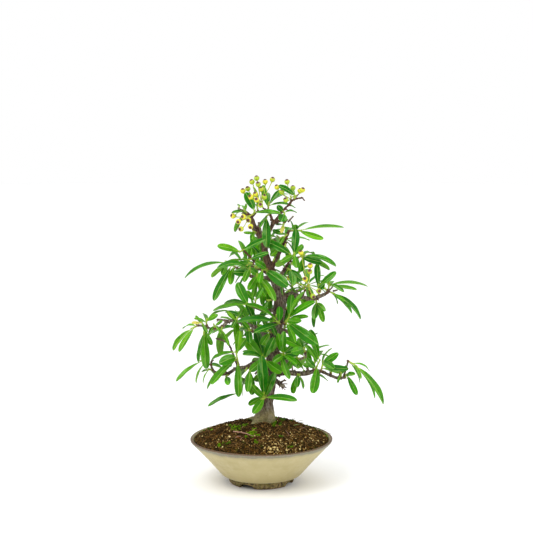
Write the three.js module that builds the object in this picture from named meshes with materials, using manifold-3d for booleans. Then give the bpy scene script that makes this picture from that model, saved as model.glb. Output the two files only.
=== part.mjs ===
// Narrowleaf firethorn bonsai in its round pot: millimetres, +Z up.
// The photograph's viewer looks along +Y, so -Y is the front and +X is to the right.
// The origin is the middle of the whole part's box, on the plane that the foot ring stands on.
import * as THREE from 'three';
import { mergeVertices } from 'three/addons/utils/BufferGeometryUtils.js';
import Module from 'manifold-3d';

const wasm = await Module();
wasm.setup();

// Pot
const RIM_DIAMETER = 170;
const POT_HEIGHT = 54;
const WALL = 5;
const RIM_BAND_HEIGHT = 4.5;
const TURN_DIAMETER = 98;
const TURN_HEIGHT = 12;
const TURN_BOTTOM_DIAMETER = 88;
const FOOT_TOP_DIAMETER = 83;
const FOOT_BOTTOM_DIAMETER = 76;
const FOOT_HEIGHT = 9.5;
const FOOT_RING_WIDTH = 7;
const FLOOR_THICKNESS = 6;
const NOTCH_WIDTH = 19;
const NOTCH_HEIGHT = 5.5;
const NOTCH_TURN = THREE.MathUtils.degToRad(27);
const DRAIN_DIAMETER = 14;
const ROUND_SEGMENTS = 32;

// Soil
const SOIL_EDGE_HEIGHT = 51;
const SOIL_CROWN = 19;
const SOIL_REACH = 81;
const SOIL_RINGS = 5;

// Wood
const TRUNK_SIDES = 10;
const LIMB_SIDES = 5;
const TWIG_DIAMETER = 2.1;
const TWIG_SIDES = 4;
const WOOD_STEPS = 8;

// Leafy sprays
const SHOOT_DIAMETER = 2.3;
const SHOOT_SIDES = 4;
const LEAF_LENGTH = 36;
const BLADE_RATIO = 0.22;
const BLADE_THICKNESS = 1.3;
const STALK_DIAMETER = 1.1;
const SEAT_THICKNESS = 0.7;
const SEAT_DEPTH = 0.6;
const ARCHED_STATIONS = [0, 0.3, 0.6, 0.87, 1];
const FLAT_STATIONS = [0, 0.4, 0.8, 1];
const FLAT_ARCH = 0.075;
const OUTLINE_FOOT = 0.05;
const OUTLINE_RISE = 0.8;
const OUTLINE_PEAK = 0.42;
const BACK_LEAN = 0.45;
const DROOP = 0.25;
const GOLDEN_ANGLE = THREE.MathUtils.degToRad(137.5);
const GREENS = [0x3f8f26, 0x57a133, 0x2f7a24];

// Berries
const BERRY_DIAMETER = 6.4;
const BERRY_SIDES = 5;
const BERRY_PROFILE = [[-0.55, 0.85], [0.25, 0.98], [0.9, 0.55]];

// Room between what grows
const GAP = 0.3;
const SEED = 7919;
const ROOM_CELL = 5;
const BALL_SPACING = 1.5;
const LEAF_BALL = 1.6;
const LEAF_BALLS = 16;
const SHARED_FOOT = 0.3;
const SLIDES = [0, 5, -5, 10, -10, 15, -15, 20, -20, 26, -26];
const PLAIN_TRIES = 16;

// The photograph: places on the plant are read as [x, y] pixels and a distance in mm
// towards the viewer from the pot's axis, and lie on the line of sight of that pixel.
const PHOTO_CENTRE = 266.5;
const FOCAL_PIXELS = 1364;
const EYE = new THREE.Vector3(6.1, -1600, 453.8);
const EYE_PITCH = THREE.MathUtils.degToRad(6.9);
const MM_PER_PIXEL = 1.196;

// Each row is one limb: [x, y, towards the viewer, radius in mm] from its root to its end.
const LIMBS = [
  // trunk and leader, up to the cut end
  [[262.5, 436, -17, 11], [263, 424, -17, 12.4], [264, 416, -17, 10.8], [265.5, 408, -17, 9.4],
    [266.5, 400, -17, 8.5], [269, 385, -16, 7.9], [272, 365, -14, 7.6], [274, 345, -12, 7.2],
    [277, 325, -9, 7.2], [280, 305, -6, 7.5], [279, 292, -4, 6.6], [275, 280, -3, 5.6],
    [270, 268, -2, 4.8], [266, 256, -2, 4.1], [264, 245, -3, 3.5], [260, 236, -4, 3.6],
    [254.5, 228, -4, 3.6], [251, 218, -4, 2.8], [245, 212, -3, 2.3], [239, 210, -2, 1.9]],
  // surface roots
  [[263, 419, -15, 6], [257.5, 423, -7, 4], [252, 427.5, 1, 2.6], [247, 432, 9, 1.2]],
  [[264, 419, -18, 7], [272, 420, -26, 4], [281, 421.5, -36, 1.6]],
  [[263, 420, -18, 7], [253, 419, -26, 3.6], [244, 420.5, -33, 1.4]],
  // left side, from the top down
  [[273, 277, -3, 3.4], [264, 278, 0, 2.7], [255.7, 278, 4, 2.2], [244, 272.5, 8, 1.7],
    [237, 268, 9, 1.3]],
  [[270, 270, -2, 2.2], [262, 267, 0, 1.6], [253, 260, 4, 1.3], [243.5, 250, 7, 1.1]],
  [[279, 309, -6, 3], [266, 311, 1, 2.1], [252.5, 306.5, 8, 1.3]],
  [[277, 330, -9, 4.4], [266, 330, -4, 2.9], [252, 326, 2, 2.4], [235, 321, 8, 2.2],
    [227, 322, 10, 2.1], [222, 327, 11, 2.1], [213, 329, 12, 1.8], [205, 326.5, 13, 1.5],
    [199, 325.5, 14, 1.2]],
  [[230, 321.5, 9, 1.7], [223, 320, 9, 1.3], [216.5, 319.3, 9, 1]],
  [[270, 374, -13, 4.4], [262, 367, -6, 3], [255, 362.5, -2, 2.5], [246, 367, 4, 2.3],
    [237, 368, 7, 2.1], [228, 373.5, 9, 2], [219, 374, 10, 1.8], [213, 370, 10, 1.5],
    [211, 363, 10, 1.2], [213.5, 359.6, 10, 1]],
  [[238, 367, 7, 1.5], [233, 354, 5, 1.2], [228, 343, 5, 1.1], [221, 340, 5, 1],
    [215.5, 338.4, 5, 0.9]],
  // right side, from the top down
  [[271, 270, -2, 3], [277, 258, 0, 2.2], [281.5, 249, 1, 2], [286, 238, 1, 1.7],
    [289, 231, 0, 1.3]],
  [[275, 284, -3, 3.4], [281, 275, 0, 2.3], [286, 267, 2, 1.8], [291, 258.5, 4, 1.3]],
  [[280, 302, -6, 5.6], [287, 297, -3, 4.7], [294, 296, 0, 4.4], [302, 298, 4, 3.8],
    [310, 299, 6, 3], [318, 297, 8, 2.6], [327, 293, 10, 1.8], [329, 290.5, 11, 1.3]],
  [[277, 332, -9, 4.4], [284, 331, -2, 2.8], [288.5, 331, 3, 1.8]],
  [[273, 374, -14, 5], [285, 372.5, -8, 3.3], [297, 373.5, -4, 3.1], [305, 373.5, -1, 3],
    [313, 371.5, 1, 2.4], [320, 371, 3, 2], [331, 375.8, 4, 1.8], [338, 378, 4, 1.8],
    [345, 377.6, 4, 1.5]],
  [[308, 372.5, 0, 2], [306.5, 362, 2, 1.3], [305.5, 352.5, 3, 1]],
  [[330.5, 375.5, 4, 1.2], [331.8, 368.8, 4, 0.9]],
  [[339, 377.5, 4, 1.4], [341.5, 370.3, 5, 1]],
  [[343.5, 377.5, 4, 1.3], [346, 369, 5, 1.1], [348, 361, 6, 0.9]],
  [[270, 376, -15, 4], [278, 382.5, -7, 2.7], [284, 387, 0, 2.2]],
  // crown
  [[263, 241, -3, 2.9], [268, 233, -2, 2.5], [272, 226, -1, 2.3], [273.3, 221.5, -1, 2.1]],
  [[273.3, 223, -1, 2], [270.5, 215.5, -1, 1.7], [268, 210, -1, 1.3]],
  [[273, 224, -1, 2], [278, 217.3, 0, 1.8], [283, 210.5, 1, 1.5], [289, 204.5, 1, 1.3],
    [293.6, 199.6, 1, 1.2], [302.5, 197.6, 1, 0.9]],
  [[273.5, 223.5, -1, 1.7], [280, 221, 1, 1.3], [287, 219.5, 2, 0.9]],
  [[258.5, 234, -4, 1.7], [258, 226.5, -3, 1]],
  // away from the viewer
  [[275, 340, -12, 4.4], [262, 334, -32, 2.9], [250, 330, -52, 2], [243, 328, -64, 1.2]],
  [[280, 301, -6, 4.4], [290, 294, -25, 2.6], [300, 290, -45, 1.8], [305, 287, -58, 1.2]],
  [[271, 369, -15, 4.4], [285, 362, -35, 2.6], [297, 360, -52, 1.8], [303, 358, -64, 1.2]],
  [[272, 275, -3, 3.2], [262, 270, -20, 2], [252, 267, -36, 1.5], [246, 266, -46, 1.1]],
  [[264, 247, -3, 2.4], [272, 242, -18, 1.5], [279, 239, -32, 1.2], [283, 238, -42, 1]],
];

// Each row is one bunch: its name, where its stalks meet, and the middle of each berry.
const BUNCHES = [
  ['berries_top_left', [253, 214, 4],
    [[233, 216, 10], [243.5, 217, 18], [238.5, 221.5, 22], [248.5, 220, 12], [250.5, 226.5, 16],
      [241, 229, 20]]],
  ['berries_crown', [263, 208, 3],
    [[256.7, 178.3, 2], [252, 181.9, 0], [265.2, 181.9, -8], [258.2, 184.3, 10],
      [247.8, 188.8, -6], [242.9, 191, 2], [261.2, 189.2, 6], [255.4, 194.4, 14],
      [250.8, 197, 18], [264.3, 197, 12], [256.7, 200, 20], [260.5, 205.1, 22],
      [272.4, 179.6, -10]]],
  ['berries_crown_right', [291.5, 201, -1],
    [[287.1, 181.9, -6], [277, 187.2, 10], [281.8, 191.8, 14], [285.8, 200, 12],
      [300, 191, -4], [302.5, 190, 6], [293, 188, -12]]],
  ['berries_middle_right', [309, 290, 14],
    [[301, 252.9, 14], [310.2, 265.8, 14], [309.7, 271.7, 20], [289.3, 277.9, 22],
      [305.2, 279.2, 24], [318.7, 291, 24], [312.9, 296.2, 28]]],
];

// Each row is one spray: its name, the ends of its green shoot, how many plain leaves fill it,
// and its leaves from the shoot's root to its tip: [x, y, towards the viewer] of the tip, the
// width seen in pixels (negative from below) and the height of its arch over its length.
const SPRAYS = [
  ['spray_crown_left', [252.5, 215.5, -1], [254.5, 211.5, 3], 0,
    [[233.5, 213, -8, 2.5, 0.09], [280.7, 213.6, 18, 4.5, 0.11], [245.3, 192.5, 8, 9, 0.04]]],
  ['spray_crown_middle', [268, 210, -1], [269, 203.5, -2], 2,
    [[263, 185, -16, 6, 0.06], [280, 190.2, -14, 4.5, 0.08], [288.5, 194, -8, 4, 0.09]]],
  ['spray_crown_front', [269.5, 214, 0], [266.5, 216, 5], 0,
    [[260, 227.5, 20, 3, 0.08], [266.9, 247.5, 14, 9, 0.04]]],
  ['spray_crown_right', [294, 199.5, 2], [295.5, 196.5, 5], 0,
    [[293.5, 189, -14, 1.5, 0.08], [278.4, 185.7, 16, 5.5, 0.04]]],
  ['spray_crown_low', [283, 210.5, 2], [284.5, 213.5, 6], 0,
    [[277.5, 205.2, 24, 6, 0.04], [296.7, 212.7, -14, 2, 0.09], [281, 221.5, 32, 9, 0.04]]],
  ['spray_left_top', [243.5, 250, 8], [240.5, 251.5, 11], 0,
    [[229, 257, -14, 3, 0.08], [265.5, 239, 24, 5.5, 0.06], [217.3, 245.7, 14, 6.8, 0.08]]],
  ['spray_left_twig', [252.5, 259, 5], [250, 259.5, 9], 1,
    [[268.9, 252.7, 28, 5, 0.12]]],
  ['spray_left_reach', [237, 268, 9], [226.5, 261.5, 12], 0,
    [[230.4, 284.6, 26, 6.5, 0.04], [213.5, 300.6, 16, 7.5, 0.06], [211.2, 277, 28, -4.5, 0.08],
      [184.5, 278.3, 12, 4, 0.14], [222, 275, 30, 6, 0.08]]],
  ['spray_left_over', [250, 275.5, 7], [250, 268.5, 11], 1,
    [[233.5, 272.5, 22, 8, 0.06], [217, 268.3, 22, 5.5, 0.22], [244, 282, 18, 6, 0.06]]],
  ['spray_left_under', [257, 278.5, 5], [257, 274.5, 10], 0,
    [[256.4, 297, -10, -4, 0.04], [273, 293.5, 14, 7, 0.04], [252.2, 298, 12, 5, 0.04],
      [266, 296.5, 18, 6, 0.04], [262.5, 305, 16, 6.5, 0.05], [248, 290, 20, 7, 0.05],
      [275, 301, 8, 7, 0.05]]],
  ['spray_left_face', [268.5, 269, 2], [262.5, 270, 10], 0,
    [[255.3, 261.6, 28, 6.5, 0.04], [288.1, 286.3, 26, 11, 0.06], [259, 283, 14, 6, 0.05]]],
  ['spray_right_knot', [291, 258.5, 5], [294, 254, 9], 0,
    [[275.4, 265.6, 24, -6, 0.04], [303, 244.7, -10, 5.5, 0.04], [265, 241, 10, 8, 0.14],
      [295.9, 228.8, 14, 8, 0.04], [281, 262, 30, 6, 0.05], [297, 268, 18, 7, 0.05]]],
  ['spray_right_arch', [298, 257.5, 6], [304, 255, 10], 1,
    [[322.3, 262.5, 24, 6.5, 0.06], [329.7, 270, -4, -5, 0.11], [336.2, 266.4, 12, 5, 0.12],
      [313, 277, 26, 7, 0.06], [300, 272, 8, 6, 0.05]]],
  ['spray_right_dark', [286.5, 268, 3], [290, 269.5, 9], 1,
    [[301.2, 280, 22, 8, 0.04], [293, 285, 24, 7, 0.05]]],
  ['spray_right_high', [289, 231, 0], [300.5, 230.3, 5], 0,
    [[289.5, 219.5, -16, 1.5, 0.08], [308.3, 222.1, -16, 2.5, 0.08], [295, 224.5, 28, 7, 0.04],
      [323.5, 238.7, 16, 6, 0.08], [344, 227.5, 2, 3.5, 0.05]]],
  ['spray_right_middle', [319, 296.5, 9], [318.5, 285.5, 13], 0,
    [[308, 291.5, 40, 9, 0.03], [324.5, 283.5, 42, 5, 0.04], [317, 263.7, 8, 6.5, 0.04],
      [336, 271.7, 18, 6.5, 0.08]]],
  ['spray_right_tip', [328.5, 290, 11], [329, 283.5, 13], 0,
    [[333.5, 281, -16, 4, 0.04], [325.5, 276, -18, 4, 0.04], [357, 289.6, 20, 4, 0.06],
      [367.8, 286.3, 8, 3.5, 0.07], [344, 292, 30, 4, 0.1]]],
  ['spray_right_droop', [329, 291.5, 10], [333, 293, 12], 0,
    [[337.3, 303.4, -16, 1.8, 0.06], [352, 313.2, 0, 4, 0.09], [360.6, 319.3, 16, 5, 0.11],
      [345, 301, 6, 4, 0.1]]],
  ['spray_right_hang', [316, 299.5, 8], [316.5, 302.5, 13], 0,
    [[313.7, 327.5, 4, 4, 0.04], [323.5, 322.1, 12, 6, 0.04], [314, 319.5, 24, 7, 0.04],
      [325.5, 311, 26, 6, 0.04]]],
  ['spray_front_right', [284, 323.5, 4], [289, 317.5, 16], 0,
    [[295.5, 343, 20, 6, 0.04], [317.9, 344.4, 24, 11, 0.08], [301.5, 321, 44, 6.5, 0.04],
      [308.4, 316.6, 34, 4.5, 0.08], [315, 301.6, 26, 6.5, 0.08], [304.4, 291.6, 12, 4, 0.08],
      [291.5, 294.5, 6, 8, 0.05]]],
  ['spray_front_left', [280.5, 324, 2], [277.5, 321.5, 14], 0,
    [[254, 332.4, 32, 6, 0.06], [279.5, 306.5, 2, 7, 0.06], [237, 322, 22, 6.5, 0.11],
      [245.5, 304.3, 14, 4.5, 0.12]]],
  ['spray_trunk_foot', [266.5, 399, -8], [263.8, 396.5, -1], 0,
    [[252, 384.6, 14, 6.5, 0.05], [275, 372.6, 10, 8, 0.04], [297.2, 400.5, 14, 7, 0.11],
      [252.8, 413.5, 14, 8, 0.05], [261.5, 355.6, 8, 11, 0.04], [248.5, 405, 12, 6, 0.05]]],
  ['spray_centre_low', [279.5, 353, 0], [284.5, 354.5, 8], 1,
    [[289.7, 379, 24, 6.5, 0.04], [297, 364.5, 34, 5, 0.04], [294, 343.5, -12, 5, 0.06],
      [277.7, 333.3, 16, 7, 0.04], [300, 352, 12, 8, 0.06], [284, 331, 26, 7, 0.06],
      [273, 362, 24, 7, 0.05]]],
  ['spray_centre_left', [266.5, 361, -4], [263, 358, 8], 0,
    [[282, 372.1, 20, 10, 0.05], [242.7, 354.7, 30, 5, 0.08], [274.5, 337.3, 14, 8, 0.04],
      [245.1, 338.5, 18, 11, 0.08], [256, 331, 6, 9, 0.08], [250, 371, 28, 8, 0.06]]],
  ['spray_left_tip', [198.5, 325.5, 14], [192.5, 328, 17], 0,
    [[182.9, 328.6, -6, 2, 0.11], [178.8, 351.8, 26, 5.5, 0.08], [173, 350.4, 14, 5, 0.09]]],
  ['spray_left_tip_hang', [204.5, 328, 14], [204, 332, 18], 0,
    [[212, 345, 6, 5.5, 0.04], [206.5, 369, 20, 9, 0.05], [198.5, 362.5, 20, 4.5, 0.04],
      [214, 361, -6, 4, 0.04]]],
  ['spray_left_tip_top', [206.5, 325.5, 14], [206.5, 320, 17], 0,
    [[203, 313, -14, 4, 0.06], [194, 318.5, 34, 3, 0.09], [218, 314.5, 26, 4.5, 0.06],
      [229.5, 311, -4, 1.8, 0.11]]],
  ['spray_left_bridge', [222.5, 326, 12], [221.5, 329, 16], 1,
    [[229, 346, 20, 3.5, 0.06]]],
  ['spray_left_centre', [252.5, 306.5, 9], [247.5, 304.5, 13], 0,
    [[285, 289.2, 18, 3.5, 0.08], [224, 303.6, -8, 4.5, 0.11], [237.7, 282.3, 24, 10, 0.05],
      [212.8, 310.5, 8, 4, 0.09]]],
  ['spray_left_low', [238.5, 364.5, 10], [236, 352, 15], 0,
    [[238.7, 397.1, 22, 8, 0.04], [207, 389, 10, 4, 0.11], [211.5, 384.5, 26, 7, 0.08],
      [219, 363.7, 30, 10, 0.08], [239.7, 330.5, 26, 6, 0.04], [233.2, 313.5, 16, 6.5, 0.04],
      [246, 338, 4, 7, 0.08], [211, 360.5, 4, 4, 0.08]]],
  ['spray_left_low_back', [226, 372.5, 8], [224, 369, 4], 0,
    [[209.6, 364.7, -18, 4, 0.09]]],
  ['spray_left_under_low', [228.5, 374.5, 10], [226.5, 376, 14], 0,
    [[228.5, 385, 40, 6.5, 0.04]]],
  ['spray_left_droop', [240, 369, 5], [238.5, 393, 8], 0,
    [[246, 383.5, -16, 5, 0.04], [207.9, 406.3, 16, 4, 0.08]]],
  ['spray_left_low_end', [211, 365, 11], [201.5, 361, 9], 0,
    [[213, 352, -14, 4, 0.04], [196, 383, 4, 2, 0.08], [176.2, 381.5, 14, 3.8, 0.04]]],
  ['spray_left_low_middle', [249, 367.5, 4], [250.5, 371, 9], 1,
    [[247.2, 392, 22, 7, 0.04], [256, 357, 28, 8, 0.05],
      [252, 395, 10, 7, 0.05], [258, 385, 16, 8, 0.05]]],
  ['spray_right_low', [314.5, 371, 2], [319.5, 361, 9], 0,
    [[306, 358, 34, 7, 0.04], [312.5, 393.3, 16, 9.5, 0.06], [305.4, 344.8, 18, 5, 0.06],
      [310, 329.6, -4, 8, 0.1]]],
  ['spray_right_low_tip', [321, 371, 4], [323, 362, 10], 0,
    [[338.8, 373.4, 0, 3.5, 0.08], [332, 348.4, -18, 1.5, 0.11], [348.6, 368.7, 26, 7, 0.09],
      [338.4, 353, 28, 7.5, 0.11], [334, 369, 34, 7, 0.06]]],
  ['spray_right_inner', [305.5, 352.5, 4], [304, 348.5, 7], 1,
    [[298.5, 338, -20, 5, 0.04], [283, 338.6, 8, 8, 0.08], [291, 352, 18, 8, 0.06]]],
  ['spray_right_under', [303.5, 374, -4], [304.5, 371, -8], 2,
    [[290.6, 356.9, -16, 4, 0.12]]],
  ['spray_right_low_hang', [297, 374, 0], [299, 374.5, 5], 0,
    [[293, 393.5, -10, 6, 0.04], [297, 387.5, 24, 6, 0.05], [303.3, 389, 10, 3, 0.1]]],
  ['spray_right_end', [348, 361, 6], [356, 365.5, 9], 0,
    [[360.2, 383.3, -8, 1.8, 0.06], [369.6, 371.3, -8, 1.8, 0.14], [361, 378.8, 26, 3, 0.06],
      [374.9, 398.5, 4, 3, 0.08], [383.4, 404.3, 18, 6, 0.11], [364, 391, 14, 4, 0.1]]],
  ['spray_right_end_low', [345, 377.6, 5], [346.5, 374.5, 9], 0,
    [[355.3, 374.4, 36, 4, 0.08], [357, 395, 14, 6, 0.08]]],
  ['spray_back_1', [243, 328, -64], [240, 327, -70], 5, []],
  ['spray_back_2', [252, 330.5, -48], [252, 322, -56], 5, []],
  ['spray_back_3', [305, 287, -58], [308, 285, -66], 5, []],
  ['spray_back_4', [293, 292, -31], [292, 283, -38], 5, []],
  ['spray_back_5', [303, 358, -64], [306, 356, -71], 5, []],
  ['spray_back_6', [288, 361, -39], [290, 352, -46], 5, []],
  ['spray_back_7', [246, 266, -46], [243, 264, -53], 5, []],
  ['spray_back_8', [283, 238, -42], [286, 240, -50], 5, []],
];

/** The point on the line of sight of a pixel, at a distance towards the viewer. */
function onSightLine([x, y, towards]) {
  const right = (x - PHOTO_CENTRE) / FOCAL_PIXELS;
  const up = (PHOTO_CENTRE - y) / FOCAL_PIXELS;
  const forward = Math.cos(EYE_PITCH) + up * Math.sin(EYE_PITCH);
  const rise = up * Math.cos(EYE_PITCH) - Math.sin(EYE_PITCH);
  const reach = (-towards - EYE.y) / forward;
  return new THREE.Vector3(EYE.x + right * reach, -towards, EYE.z + rise * reach);
}

/** A source of repeatable draws between 0 and 1. */
function seededDraws(seed) {
  let state = seed;
  return () => {
    state = (state * 16807) % 2147483647;
    return state / 2147483647;
  };
}

function mixed(a, b, share) {
  return a.clone().multiplyScalar(1 - share).addScaledVector(b, share);
}

/** The part of a direction that is square to another one, as a unit vector. */
function squareTo(direction, axis) {
  return direction.clone().addScaledVector(axis, -direction.dot(axis)).normalize();
}

/** A closed mesh as a solid for joining and cutting. */
function solidOf(geometry) {
  const bare = geometry.clone();
  bare.deleteAttribute('normal');
  bare.deleteAttribute('uv');
  const merged = mergeVertices(bare, 1e-4);
  const corners = merged.index.array;
  const kept = [];
  for (let i = 0; i < corners.length; i += 3) {
    const [a, b, c] = [corners[i], corners[i + 1], corners[i + 2]];
    if (a !== b && b !== c && c !== a) kept.push(a, b, c);
  }
  return new wasm.Manifold(new wasm.Mesh({
    numProp: 3,
    vertProperties: merged.attributes.position.array,
    triVerts: new Uint32Array(kept),
  }));
}

function geometryOf(solid) {
  const mesh = solid.getMesh();
  const geometry = new THREE.BufferGeometry();
  geometry.setAttribute('position', new THREE.BufferAttribute(mesh.vertProperties, 3));
  geometry.setIndex(new THREE.BufferAttribute(mesh.triVerts, 1));
  return geometry.toNonIndexed();
}

function joined(solids) {
  return wasm.Manifold.union(solids);
}

/** The largest of a solid's separate bodies, so that loose scraps are dropped. */
function mainBody(solid) {
  return solid.decompose().reduce((best, body) => (body.volume() > best.volume() ? body : best));
}

/** A closed skin over rings of points, each ring turning anticlockwise seen from the last one. */
function skinOver(rings) {
  const sides = rings[0].length;
  const last = (rings.length - 1) * sides;
  const corners = [];
  for (let ring = 0; ring < last; ring += sides) {
    for (let side = 0; side < sides; side += 1) {
      const a = ring + side;
      const b = ring + (side + 1) % sides;
      corners.push(a, b, b + sides, a, b + sides, a + sides);
    }
  }
  for (let side = 1; side + 1 < sides; side += 1) {
    corners.push(0, side + 1, side, last, last + side, last + side + 1);
  }
  const geometry = new THREE.BufferGeometry();
  const places = rings.flat().flatMap((point) => [point.x, point.y, point.z]);
  geometry.setAttribute('position', new THREE.Float32BufferAttribute(places, 3));
  geometry.setIndex(corners);
  return geometry;
}

/** Points with radii along a limb, on a smooth curve through the limb's own points. */
function alongLimb(limb, stepsBetween) {
  const knots = limb.map((knot) => ({ point: onSightLine(knot), radius: knot[3] }));
  const places = [];
  for (let i = 0; i + 1 < knots.length; i += 1) {
    const a = knots[Math.max(i - 1, 0)].point;
    const b = knots[i].point;
    const c = knots[i + 1].point;
    const d = knots[Math.min(i + 2, knots.length - 1)].point;
    for (let step = 0; step < stepsBetween; step += 1) {
      const t = step / stepsBetween;
      const smooth = (p, q, r, s) => q + 0.5 * t * (r - p
        + t * (2 * p - 5 * q + 4 * r - s + t * (3 * (q - r) + s - p)));
      places.push({
        point: new THREE.Vector3(
          smooth(a.x, b.x, c.x, d.x),
          smooth(a.y, b.y, c.y, d.y),
          smooth(a.z, b.z, c.z, d.z),
        ),
        radius: knots[i].radius + (knots[i + 1].radius - knots[i].radius) * t,
      });
    }
  }
  places.push(knots[knots.length - 1]);
  return places;
}

/** A round limb through places with radii, grown on all sides by an allowance. */
function tube(places, sides, allowance = 0) {
  const rings = [];
  let across = null;
  places.forEach(({ point, radius }, i) => {
    const before = places[Math.max(i - 1, 0)].point;
    const after = places[Math.min(i + 1, places.length - 1)].point;
    const forward = after.clone().sub(before).normalize();
    const start = Math.abs(forward.z) > 0.9 ? new THREE.Vector3(1, 0, 0) : new THREE.Vector3(0, 0, 1);
    across = squareTo(across ?? start, forward);
    const beside = forward.clone().cross(across);
    const end = i === 0 ? -allowance : allowance * (i === places.length - 1);
    const middle = point.clone().addScaledVector(forward, end);
    const ring = [];
    for (let side = 0; side < sides; side += 1) {
      const angle = (side / sides) * 2 * Math.PI;
      ring.push(middle.clone()
        .addScaledVector(across, Math.cos(angle) * (radius + allowance))
        .addScaledVector(beside, Math.sin(angle) * (radius + allowance)));
    }
    rings.push(ring);
  });
  return skinOver(rings);
}

/** The height of the soil over the ground plane at a distance from the pot's axis. */
function soilHeight(x, y) {
  const reach = Math.min(Math.hypot(x, y) / SOIL_REACH, 1);
  const lump = 3 * Math.exp(-((x - 27) ** 2 + (y - 52) ** 2) / 300);
  const clods = Math.sin(x * 0.31 + 1.3) * Math.sin(y * 0.27) + 0.5 * Math.sin(x * 0.6 - y * 0.5);
  return SOIL_EDGE_HEIGHT + SOIL_CROWN * (1 - reach ** 2.6) + (lump + 0.7 * clods) * (1 - reach ** 4);
}

function lathe(profile, segments) {
  const points = profile.map(([radius, height]) => new THREE.Vector2(radius, height));
  return new THREE.LatheGeometry(points, segments).rotateX(Math.PI / 2);
}

/** The inner face of the bowl's wall, grown inwards by an allowance. */
function bowlInside(allowance) {
  const floor = FOOT_HEIGHT + FLOOR_THICKNESS + allowance;
  return [
    [TURN_DIAMETER / 2 - WALL - 4 - allowance, floor],
    [RIM_DIAMETER / 2 - WALL - RIM_BAND_HEIGHT * 0.4 - allowance, POT_HEIGHT - RIM_BAND_HEIGHT],
  ];
}

/** The bowl: flared wall with a rim band, rounded turn, notched foot ring and drain hole. */
function makePot() {
  const [innerFloor, innerRim] = bowlInside(0);
  const profile = [
    [DRAIN_DIAMETER / 2, FOOT_HEIGHT],
    [DRAIN_DIAMETER / 2, innerFloor[1]],
    innerFloor,
    innerRim,
    [RIM_DIAMETER / 2 - WALL, POT_HEIGHT - 1],
    [RIM_DIAMETER / 2 - WALL / 2, POT_HEIGHT],
    [RIM_DIAMETER / 2 - 0.6, POT_HEIGHT - 0.5],
    [RIM_DIAMETER / 2, POT_HEIGHT - 1.6],
    [RIM_DIAMETER / 2 - RIM_BAND_HEIGHT * 0.6, POT_HEIGHT - RIM_BAND_HEIGHT],
    [TURN_DIAMETER / 2, TURN_HEIGHT],
    [(TURN_DIAMETER + TURN_BOTTOM_DIAMETER) / 4 - 0.5, FOOT_HEIGHT + 0.8],
    [TURN_BOTTOM_DIAMETER / 2, FOOT_HEIGHT],
    [FOOT_TOP_DIAMETER / 2, FOOT_HEIGHT - 0.4],
    [FOOT_BOTTOM_DIAMETER / 2, 0],
    [FOOT_BOTTOM_DIAMETER / 2 - FOOT_RING_WIDTH, 0],
    [FOOT_BOTTOM_DIAMETER / 2 - FOOT_RING_WIDTH - 1, FOOT_HEIGHT],
    [DRAIN_DIAMETER / 2, FOOT_HEIGHT],
  ];
  let bowl = solidOf(lathe(profile.reverse(), ROUND_SEGMENTS));
  for (const turn of [NOTCH_TURN, NOTCH_TURN + Math.PI / 2]) {
    const notch = new THREE.Shape();
    notch.moveTo(-NOTCH_WIDTH / 2, -1);
    notch.lineTo(NOTCH_WIDTH / 2, -1);
    notch.lineTo(NOTCH_WIDTH / 2, 0.5);
    notch.lineTo(NOTCH_WIDTH / 2 - 2.5, NOTCH_HEIGHT - 1);
    notch.lineTo(NOTCH_WIDTH / 2 - 5, NOTCH_HEIGHT);
    notch.lineTo(-NOTCH_WIDTH / 2 + 5, NOTCH_HEIGHT);
    notch.lineTo(-NOTCH_WIDTH / 2 + 2.5, NOTCH_HEIGHT - 1);
    notch.lineTo(-NOTCH_WIDTH / 2, 0.5);
    const cut = new THREE.ExtrudeGeometry(notch, { depth: FOOT_TOP_DIAMETER + 10, bevelEnabled: false })
      .translate(0, 0, -(FOOT_TOP_DIAMETER + 10) / 2)
      .rotateX(Math.PI / 2)
      .rotateZ(-turn);
    bowl = bowl.subtract(solidOf(cut));
  }
  return bowl;
}

/** The soil fills the bowl and rises in a mound, with the trunk's hole in it. */
function makeSoil(hole) {
  const [floor, rim] = bowlInside(GAP);
  const slope = (rim[0] - floor[0]) / (rim[1] - floor[1]);
  const edgeHeight = SOIL_EDGE_HEIGHT - 2;
  const edge = floor[0] + slope * (edgeHeight - floor[1]);
  const profile = [[0, floor[1]], floor, [edge, edgeHeight]];
  const top = edge + 0.4;
  for (let ring = SOIL_RINGS; ring >= 0; ring -= 1) {
    profile.push([top * ring / SOIL_RINGS, SOIL_EDGE_HEIGHT]);
  }
  const geometry = lathe(profile, ROUND_SEGMENTS);
  const places = geometry.attributes.position;
  for (let i = 0; i < places.count; i += 1) {
    if (places.getZ(i) > edgeHeight + 1) {
      const x = places.getX(i);
      const y = places.getY(i);
      places.setZ(i, Math.hypot(x, y) > top - 1 ? SOIL_EDGE_HEIGHT : soilHeight(x, y));
    }
  }
  return mainBody(solidOf(geometry).subtract(hole));
}

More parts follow.
